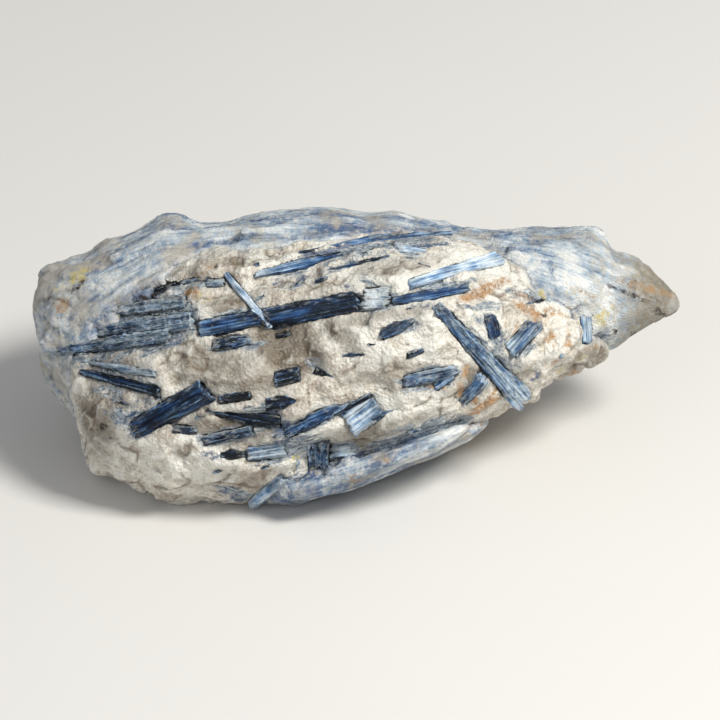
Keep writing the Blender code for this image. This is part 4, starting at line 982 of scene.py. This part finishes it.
def tinted(tree, body, value, low, high, share, colour):
    """Mixes a colour into a body colour: not at all where value is low, and by share where it is
    high."""
    amount = add(tree, "MapRange", {"Value": value, "From Min": low, "From Max": high, "To Max": share})
    return add(tree, "Mix", {0: amount, 6: body, 7: colour}, out=2, data_type="RGBA")


def spread(tree, body, zone, value, high, share, colour):
    """Mixes in a colour as value goes from 0 to high, and nowhere outside a zone."""
    amount = add(tree, "MapRange", {"Value": value, "From Min": 0.0, "From Max": high, "To Max": share})
    here = add(tree, "Math", {0: zone, 1: 5.0}, operation="MULTIPLY", use_clamp=True)
    amount = add(tree, "Math", {0: amount, 1: here}, operation="MULTIPLY")
    return add(tree, "Mix", {0: amount, 6: body, 7: colour}, out=2, data_type="RGBA")


def stained(tree, body, stains):
    """Mixes stains into a body colour. Each has its zone, the patchy noise that breaks it up, its
    colour and its strength."""
    for zone, patch, colour, strength in stains:
        torn = summed(tree, -2.4, (patch, 3.6), (zone, 1.0))
        body = spread(tree, body, zone, torn, 0.5, strength, colour)
    return body


def milky_quartz(settings):
    """Milky vein quartz, broken: cream and slightly see-through grains with a glassy edge, painted
    shade in the hollows, and iron stain beside the crystals."""
    made = fresh_material("broken_milky_quartz")
    tree = made.node_tree
    where = add(tree, "TexCoord", out="Object")
    fibre = add(tree, "Attribute", attribute_name="fibre", out="Vector")
    hollow, crease, lump, flat, flat_edge, sugary, beside, other = (
        add(tree, "Attribute", attribute_name=layer, out="Fac")
        for layer in ("hollow", "crease", "lump", "flat", "flat_edge", "sugary", "beside", "other")
    )
    smoky, clean, threaded, rust, lichen, blue, pits = (
        add(tree, "Attribute", attribute_name=layer, out="Fac")
        for layer in ("smoky", "clean", "threads", "rust", "lichen", "blue", "pits")
    )
    cream, white, beige = tuple(settings.cream), tuple(settings.white), tuple(settings.beige)
    cloud, speckle, patch, grit = (
        add(tree, "TexNoise", {
            "Vector": where, "Scale": per(size), "Detail": detail, "Roughness": roughness,
        })
        for size, detail, roughness in (
            (7.0, 7.0, 0.66), (0.85, 7.0, 0.84), (1.5, 8.0, 0.75), (0.45, 3.0, 0.6),
        )
    )
    grain = add(tree, "TexVoronoi", {"Vector": where, "Scale": per(0.42)}, out="Color")
    grain = add(tree, "SeparateColor", {"Color": grain}, out="Red")

    # Each broken lump and each flat on it takes its own tone, and fine speckle runs over them.
    # Frosted grains are whiter, dull ones browner, and clear smoky quartz is the darkest; the
    # same ovals paint shade too, deepest under the main blade.
    value = summed(
        tree, cloud, (lump, 0.24), (flat, 0.22), (grain, 0.14), (speckle, 0.9), (clean, 0.26),
    )
    value = add(tree, "Math", {0: value, 1: 0.70}, operation="SUBTRACT")
    body = add(tree, "ValToRGB", {"Fac": value}, stops=[(0.32, beige), (0.50, cream), (0.68, white)])
    frost = summed(tree, speckle, (sugary, 0.10))
    body = tinted(tree, body, frost, 0.62, 0.74, 0.7, linear(FROSTED_GRAIN))
    body = tinted(tree, body, speckle, 0.44, 0.30, 0.6, linear(DULL_GRAIN))
    clear = summed(tree, smoky, (cloud, 1.2))
    body = tinted(tree, body, clear, 0.66, 1.35, 0.92, linear(CLEAR_QUARTZ_AND_SHADE))

    # Painted shade darkens the hollows, brown lines in the creases are dirt with painted
    # shade, and worn crests and the edges of flats are whiter.
    low = summed(tree, hollow, (speckle, 0.9), (clean, -0.3))
    body = tinted(tree, body, low, 0.65, 1.45, 0.7, linear(HOLLOW_SHADE))
    # Brown lines in the creases between lumps: dirt, and painted shade.
    torn = summed(tree, crease, (speckle, 1.2))
    body = tinted(tree, body, torn, 0.9, 1.4, 0.75, linear(CREASE_DIRT_AND_SHADE))
    crest = add(tree, "Math", {0: flat_edge, 1: speckle}, operation="MULTIPLY")
    crest = summed(tree, crest, (hollow, -0.7))
    body = tinted(tree, body, crest, 0.35, 1.0, 0.42, white)

    # Kyanite threads half a millimetre wide run through the quartz.
    strand = streaks(tree, fibre, (4.0, 0.5, 0.5), 6.0, 0.68, 0.3)
    blend = streaks(tree, fibre, (7.0, 2.2, 2.2), 6.0, 0.7)
    stops = [(position, linear(colour)) for position, colour in THREAD_TONES]
    colour = add(tree, "ValToRGB", {"Fac": strand}, stops=stops)
    near = summed(tree, -2.1, (blend, 3.2), (threaded, 1.0), (beside, 0.35))
    body = spread(tree, body, threaded, near, 0.32, 0.92, colour)

    # A blue tinge shows beside the crust, and a powdery grey seam beside the crystals.
    tinge = summed(tree, other, (speckle, 1.5))
    body = tinted(tree, body, tinge, 1.05, 1.6, 0.7, linear(BLUE_TINGE))
    seam = summed(tree, beside, (speckle, 1.4))
    body = tinted(tree, body, seam, 1.3, 1.8, 0.8, linear(GREY_SEAM))

    # Stains spread unevenly from their centres, and the rust is browner there. The dark pits
    # are partly painted shade.
    cores = add(tree, "Math", {0: rust, 1: 0.8}, operation="MULTIPLY")
    body = stained(tree, body, (
        (rust, patch, tuple(settings.rust), 0.95),
        (cores, speckle, linear(RUST_CORE), 0.7),
        (lichen, patch, linear(QUARTZ_LICHEN), 0.85),
        (blue, patch, linear(BLUE_SMEAR), 0.85),
        (pits, patch, linear(DARK_PIT_AND_SHADE), 1.0),
    ))

    # Fine grit, drawn at the finest size that still shows. Each flat has its own gloss.
    edges = add(tree, "TexVoronoi", {"Vector": where, "Scale": per(0.8)}, out="Distance")
    height = summed(tree, grit, (edges, 0.8))
    bump = add(tree, "Bump", {"Height": height, "Strength": 1.0, "Distance": GRIT_DEPTH})
    gloss = add(tree, "MapRange", {"Value": flat, "To Min": 0.16, "To Max": 0.52})
    shader = add(tree, "BsdfPrincipled", {
        "Base Color": body, "Roughness": gloss, "Normal": bump, "IOR": QUARTZ_IOR,
        "Subsurface Weight": 0.1, "Subsurface Radius": (1.0, 0.85, 0.7), "Subsurface Scale": 0.0018,
    })
    add(tree, "OutputMaterial", {"Surface": shader})
    return made


def pale_kyanite(settings):
    """Pale fibrous kyanite, split along its blades: pearly streaks from white to deep blue, powdery
    where worn, with quartz and iron stain between the blades."""
    made = fresh_material("pale_fibrous_kyanite")
    tree = made.node_tree
    where = add(tree, "TexCoord", out="Object")
    fibre = add(tree, "Attribute", attribute_name="fibre", out="Vector")
    hollow, rough, contrast, paler, other, rust, lichen, blue, pits = (
        add(tree, "Attribute", attribute_name=layer, out="Fac")
        for layer in ("hollow", "rough", "contrast", "paler", "other", "rust", "lichen", "blue", "pits")
    )
    cloud, speck, patch, grit = (
        add(tree, "TexNoise", {
            "Vector": where, "Scale": per(size), "Detail": detail, "Roughness": roughness,
        })
        for size, detail, roughness in (
            (7.5, 5.0, 0.6), (1.4, 4.0, 0.65), (1.5, 8.0, 0.75), (0.6, 3.0, 0.5),
        )
    )
    along_stone = add(tree, "SeparateXYZ", {"Vector": where}, out="X")

    # Streaks: bands 6 mm wide, blades 1.5 mm wide and fibres 0.45 mm wide, all much longer than
    # wide. The rough ends are dotted instead.
    sweep = streaks(tree, fibre, (26.0, 6.0, 6.0), 4.0, 0.6)
    broad = streaks(tree, fibre, (22.0, 1.5, 1.5), 5.0, 0.62, 0.25)
    thin = streaks(tree, fibre, (11.0, 0.45, 0.45), 4.0, 0.6)
    streak = summed(tree, cloud, (thin, 0.55), (speck, 0.3), (broad, 0.8), (sweep, 1.9))
    streak = add(tree, "Math", {0: streak, 1: 2.275}, operation="SUBTRACT")
    dots = summed(tree, cloud, (speck, 0.9))
    dots = add(tree, "Math", {0: dots, 1: 0.95}, operation="SUBTRACT")
    value = add(tree, "Mix", {0: rough, 2: streak, 3: dots}, out=0, data_type="FLOAT")
    # Paler raises the value toward the right end: partly painted light.
    value = summed(tree, 0.5, (value, contrast), (paler, 1.0))
    body = add(tree, "ValToRGB", {"Fac": value}, stops=[
        (0.20, tuple(settings.deep)), (0.36, tuple(settings.mid)), (0.52, tuple(settings.pale)),
        (0.70, tuple(settings.whitish)), (0.92, linear(CRUST_WHITE)),
    ])

    # Powdery and sandy patches, a few millimetres across, sandier toward the left end.
    powder = summed(tree, cloud, (speck, 0.8))
    body = tinted(tree, body, powder, 0.92, 1.12, 0.7, linear(CRUST_POWDER))
    left_end = add(tree, "MapRange", {
        "Value": along_stone, "From Min": -0.03, "From Max": -0.06, "To Max": 0.06,
    })
    sandy = summed(tree, cloud, (rough, -0.07), (other, -0.09), (speck, -0.35), (left_end, -1.0))
    body = tinted(tree, body, sandy, 0.33, 0.16, 0.7, linear(CRUST_SAND))

    # The narrow tip weathers to brown. Painted shade darkens the hollows, and worn crests are
    # whiter.
    ragged = summed(tree, along_stone, (speck, 0.018))
    body = tinted(tree, body, ragged, 0.058, 0.068, 0.8, tuple(settings.brown))
    body = tinted(tree, body, hollow, 0.05, 0.8, 0.75, linear(CRUST_HOLLOW_SHADE))
    body = tinted(tree, body, hollow, -0.2, -1.0, 0.35, linear(CRUST_CREST))
    # Stains, and dark pits that are partly painted shade.
    body = stained(tree, body, (
        (rust, patch, linear(CRUST_RUST), 0.75),
        (lichen, patch, linear(CRUST_LICHEN), 0.85),
        (blue, patch, tuple(settings.deep), 0.8),
        (pits, patch, linear(DARK_PIT_AND_SHADE), 1.0),
    ))

    # Fibres 0.3 mm wide and fine grit, and a pearly gloss that follows the fibres.
    fine = streaks(tree, fibre, (9.0, 0.3, 0.3), 3.0, 0.6)
    height = summed(tree, fine, (grit, 0.8))
    bump = add(tree, "Bump", {"Height": height, "Strength": 1.0, "Distance": FIBRE_DEPTH})
    gloss = add(tree, "MapRange", {
        "Value": thin, "From Min": 0.3, "From Max": 0.7, "To Min": 0.42, "To Max": 0.68,
    })
    shader = add(tree, "BsdfPrincipled", {
        "Base Color": body, "Roughness": gloss, "Normal": bump, "IOR": KYANITE_IOR,
    })
    add(tree, "OutputMaterial", {"Surface": shader})
    return made


def blade_kyanite(name, settings, lift):
    """Kyanite crystals, cleaved: glossy to pearly faces, streaked from blue-black to silver along
    their length, with partings across it and whitish worn edges. Lift makes them paler."""
    made = fresh_material(name)
    tree = made.node_tree
    fibre = add(tree, "Attribute", attribute_name="fibre", out="Vector")
    tone, edge, powder, mixed = (
        add(tree, "Attribute", attribute_name=layer, out="Fac")
        for layer in ("tone", "edge", "powder", "mixed")
    )
    silver, white = tuple(settings.silver), tuple(settings.white)

    # Streaks half a millimetre wide, finer threads, and sections a few millimetres long. The mixed
    # crystals are mottled too.
    broad = streaks(tree, fibre, (14.0, 0.6, 0.9), 5.0, 0.6, 0.2)
    thin = streaks(tree, fibre, (8.0, 0.2, 0.3), 3.0, 0.6)
    section = streaks(tree, fibre, (4.0, 1.6, 1.6), 3.0, 0.55)
    speck = streaks(tree, fibre, (1.6, 0.7, 0.7), 7.0, 0.78)
    mottled = summed(tree, -0.55, (speck, 1.2))
    value = summed(tree, tone, (broad, 1.0), (mottled, mixed), (thin, 0.8), (section, 0.9))
    value = add(tree, "Math", {0: value, 1: lift - 1.30}, operation="ADD")
    positions = (0.10, 0.28, 0.44, 0.60, 0.78, 0.98)
    blues = (tuple(settings.black), tuple(settings.navy), tuple(settings.blue), tuple(settings.steel))
    greys = tuple(linear(colour) for colour in SLATE_TONES)
    body = add(tree, "ValToRGB", {"Fac": value}, stops=list(zip(positions, (*blues, silver, white))))
    slate = add(tree, "ValToRGB", {"Fac": value}, stops=list(zip(positions, (*greys, white))))

    # Stretches of slate grey, and fine silvery scratches.
    greyed = streaks(tree, fibre, (6.0, 1.8, 1.8), 5.0, 0.65)
    greyed = summed(tree, greyed, (mixed, 0.26))
    body = tinted(tree, body, greyed, 0.46, 0.66, 0.8, slate)
    scratch = streaks(tree, fibre, (5.0, 0.14, 0.2), 4.0, 0.7)
    body = tinted(tree, body, scratch, 0.63, 0.78, 0.45, silver)

    # Partings across the crystal are fine dark lines, weaker on the pale ones, and worn edges are
    # silvery.
    split = add(tree, "Mapping", {
        "Vector": fibre, "Scale": (1 / 2.4, 1 / 7, 1 / 7), "Rotation": (0.0, 0.0, 0.12),
    })
    split = add(
        tree, "TexVoronoi", {"Vector": split, "Scale": 1.0}, feature="DISTANCE_TO_EDGE", out="Distance",
    )
    dark = add(tree, "MapRange", {
        "Value": split, "From Min": 0.0, "From Max": 0.022, "To Min": 0.5 - 8 * lift, "To Max": 0.0,
    })
    body = add(tree, "Mix", {0: dark, 6: body, 7: linear(CRYSTAL_CLEFT_AND_SHADE)}, out=2, data_type="RGBA")
    worn = summed(tree, -0.8, (section, 1.6), (edge, 1.0))
    body = tinted(tree, body, worn, 0.42, 1.0, 0.62, silver)
    # Hollows in the crystal are darker: painted shade.
    body = tinted(tree, body, edge, -0.3, -1.2, 0.25, linear(CRYSTAL_CLEFT_AND_SHADE))

    # Quartz grains grown into the crystal, quartz powder along its foot, and dark pits.
    grown = summed(tree, speck, (mixed, 0.2), (powder, 0.14))
    body = tinted(tree, body, grown, 0.62, 0.76, 0.7, linear(GROWN_QUARTZ))
    pitted = summed(tree, speck, (mixed, -0.06))
    body = tinted(tree, body, pitted, 0.38, 0.26, 0.55, linear(CRYSTAL_PIT))

    # Grooves 0.16 mm wide, as fine as shows, and a gloss that follows the threads.
    comb = streaks(tree, fibre, (12.0, 0.16, 0.16), 3.0, 0.6)
    height = summed(tree, comb, (speck, 0.7))
    bump = add(tree, "Bump", {"Height": height, "Strength": 1.0, "Distance": GROOVE_DEPTH})
    gloss = add(tree, "MapRange", {
        "Value": thin, "From Min": 0.3, "From Max": 0.7, "To Min": 0.24, "To Max": 0.5,
    })
    shader = add(tree, "BsdfPrincipled", {
        "Base Color": body, "Roughness": gloss, "Normal": bump, "IOR": KYANITE_IOR,
        "Specular IOR Level": 0.15, "Anisotropic": 0.3,
    })
    add(tree, "OutputMaterial", {"Surface": shader})
    return made


def painted_floor(settings):
    """Matt painted board: an even pale surface with a faint unevenness."""
    made = fresh_material("painted_studio_board")
    tree = made.node_tree
    where = add(tree, "TexCoord", out="Object")
    cloud = add(tree, "TexNoise", {"Vector": where, "Scale": per(160.0), "Detail": 3.0})
    shade = add(tree, "MapRange", {"Value": cloud, "To Min": 0.97, "To Max": 1.03})
    body = add(tree, "VectorMath", {0: tuple(settings.floor), "Scale": shade}, operation="SCALE")
    gloss = add(tree, "MapRange", {"Value": cloud, "To Min": 0.75, "To Max": 0.9})
    shader = add(tree, "BsdfPrincipled", {"Base Color": body, "Roughness": gloss})
    add(tree, "OutputMaterial", {"Surface": shader})
    return made


# Operators -----------------------------------------------------------------------------------


def make_crystals(kind, settings):
    """Makes one table's crystals and hands them over in its material."""
    table, seed, slot, finish_name, lift = CRYSTALS[kind]
    finish = blade_kyanite(finish_name, settings, lift)
    for i, (node, blades) in enumerate(table.items()):
        mixed = MIXED.get(node, LITTLE_MIXED)
        piece = crystals(copy_of(node, node + "_crystal"), blades, settings, seed + i, mixed)
        hand_over(piece, finish, slot, node)


class KYANITE_OT_quartz(bpy.types.Operator):
    """Make the broken milky quartz"""

    bl_idname = "kyanite.quartz"
    bl_label = "Quartz"

    def execute(self, context):
        settings = context.scene.kyanite_quartz
        piece = quartz_piece(settings)
        hand_over(piece, milky_quartz(settings), "milky_quartz", "quartz_matrix")
        return {"FINISHED"}


class KYANITE_OT_crust(bpy.types.Operator):
    """Make the pale bladed crust and the lower bundle of blades"""

    bl_idname = "kyanite.crust"
    bl_label = "Bladed crust"

    def execute(self, context):
        settings = context.scene.kyanite_crust
        finish = pale_kyanite(settings)
        crust = crust_piece("kyanite_crust", "pale_kyanite_crust", settings)
        hand_over(crust, finish, "pale_kyanite", "kyanite_crust")
        bundle = crust_piece("lower_blade_bundle", "pale_kyanite_bundle", settings, BUNDLE_TURN)
        hand_over(bundle, finish, "pale_kyanite", "lower_blade_bundle")
        return {"FINISHED"}


class KYANITE_OT_dark_blades(bpy.types.Operator):
    """Make the dark blue crystals"""

    bl_idname = "kyanite.dark_blades"
    bl_label = "Dark crystals"

    def execute(self, context):
        make_crystals("dark", context.scene.kyanite_blades)
        return {"FINISHED"}


class KYANITE_OT_pale_blades(bpy.types.Operator):
    """Make the grey-blue and whitish crystals"""

    bl_idname = "kyanite.pale_blades"
    bl_label = "Pale crystals"

    def execute(self, context):
        make_crystals("pale", context.scene.kyanite_blades)
        return {"FINISHED"}


class KYANITE_OT_chips(bpy.types.Operator):
    """Set small kyanite chips in the quartz"""

    bl_idname = "kyanite.chips"
    bl_label = "Small chips"

    def execute(self, context):
        stone = bpy.data.objects["milky_quartz_stone"].data
        surface = BVHTree.FromPolygons(
            [vert.co for vert in stone.vertices], [face.vertices[:] for face in stone.polygons]
        )
        piece = chips_piece(surface, context.scene.kyanite_blades)
        hand_over(piece, bpy.data.materials["striated_dark_kyanite"], "dark_kyanite")
        return {"FINISHED"}


class KYANITE_OT_stage(bpy.types.Operator):
    """Set the floor, the soft lights and the camera"""

    bl_idname = "kyanite.stage"
    bl_label = "Stage"

    def execute(self, context):
        settings = context.scene.kyanite_stage
        bpy.ops.object.select_all(action="DESELECT")
        bpy.ops.mesh.primitive_plane_add(size=FLOOR_SIZE, location=(0, 0, 0))
        floor = context.object
        floor.name = "pale_floor"
        floor.data.materials.append(painted_floor(settings))
        floor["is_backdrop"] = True

        aim = Vector(FACE_CENTRE * MM)
        for name, (place, size, power, colour) in LIGHTS.items():
            bpy.ops.object.light_add(type="AREA", location=place)
            light = context.object
            light.name = name
            light.data.size = size
            light.data.energy = getattr(settings, power)
            light.data.color = linear(colour)
            light.rotation_euler = (Vector(place) - aim).to_track_quat("Z", "Y").to_euler()
        world = bpy.data.worlds.new("soft_room")
        context.scene.world = world
        world.use_nodes = True
        sky = world.node_tree.nodes["Background"].inputs
        sky["Color"].default_value = (*linear(SKY_COLOUR), 1.0)
        sky["Strength"].default_value = settings.sky

        bpy.ops.object.camera_add(location=aim + Vector(OUT) * settings.distance)
        camera = context.object
        camera.name = "show_face_camera"
        camera.rotation_euler = (math.pi / 2 - FACE_TILT, 0.0, 0.0)
        camera.data.lens = camera.data.sensor_width * settings.distance / settings.frame_width
        camera.data.clip_start = CLIP_START
        context.scene.camera = camera
        context.scene.view_settings.view_transform = "Standard"
        return {"FINISHED"}


class KYANITE_PT_stone(bpy.types.Panel):
    """Lists the steps and their sizes and colours"""

    bl_idname = "KYANITE_PT_stone"
    bl_label = "Kyanite blade cluster"
    bl_space_type = "VIEW_3D"
    bl_region_type = "UI"
    bl_category = "Kyanite"

    def draw(self, context):
        for operator in OPERATORS:
            self.layout.operator(operator.bl_idname)
        for name, group in SETTINGS.items():
            box = self.layout.box()
            box.label(text=group.__doc__)
            for key in group.__annotations__:
                box.prop(getattr(context.scene, name), key)


SETTINGS = {
    "kyanite_quartz": QuartzSettings,
    "kyanite_crust": CrustSettings,
    "kyanite_blades": BladeSettings,
    "kyanite_stage": StageSettings,
}
OPERATORS = [
    KYANITE_OT_quartz,
    KYANITE_OT_crust,
    KYANITE_OT_dark_blades,
    KYANITE_OT_pale_blades,
    KYANITE_OT_chips,
    KYANITE_OT_stage,
]
CAD_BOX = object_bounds()


def register():
    for group in SETTINGS.values():
        bpy.utils.register_class(group)
    for name, group in SETTINGS.items():
        setattr(bpy.types.Scene, name, bpy.props.PointerProperty(type=group))
    for operator in OPERATORS:
        bpy.utils.register_class(operator)
    bpy.utils.register_class(KYANITE_PT_stone)


def unregister():
    bpy.utils.unregister_class(KYANITE_PT_stone)
    for operator in reversed(OPERATORS):
        bpy.utils.unregister_class(operator)
    for name in SETTINGS:
        delattr(bpy.types.Scene, name)
    for group in reversed(SETTINGS.values()):
        bpy.utils.unregister_class(group)


def main():
    register()
    for operator in OPERATORS:
        family, step = operator.bl_idname.split(".")
        getattr(getattr(bpy.ops, family), step)()


if __name__ == "__main__":
    main()
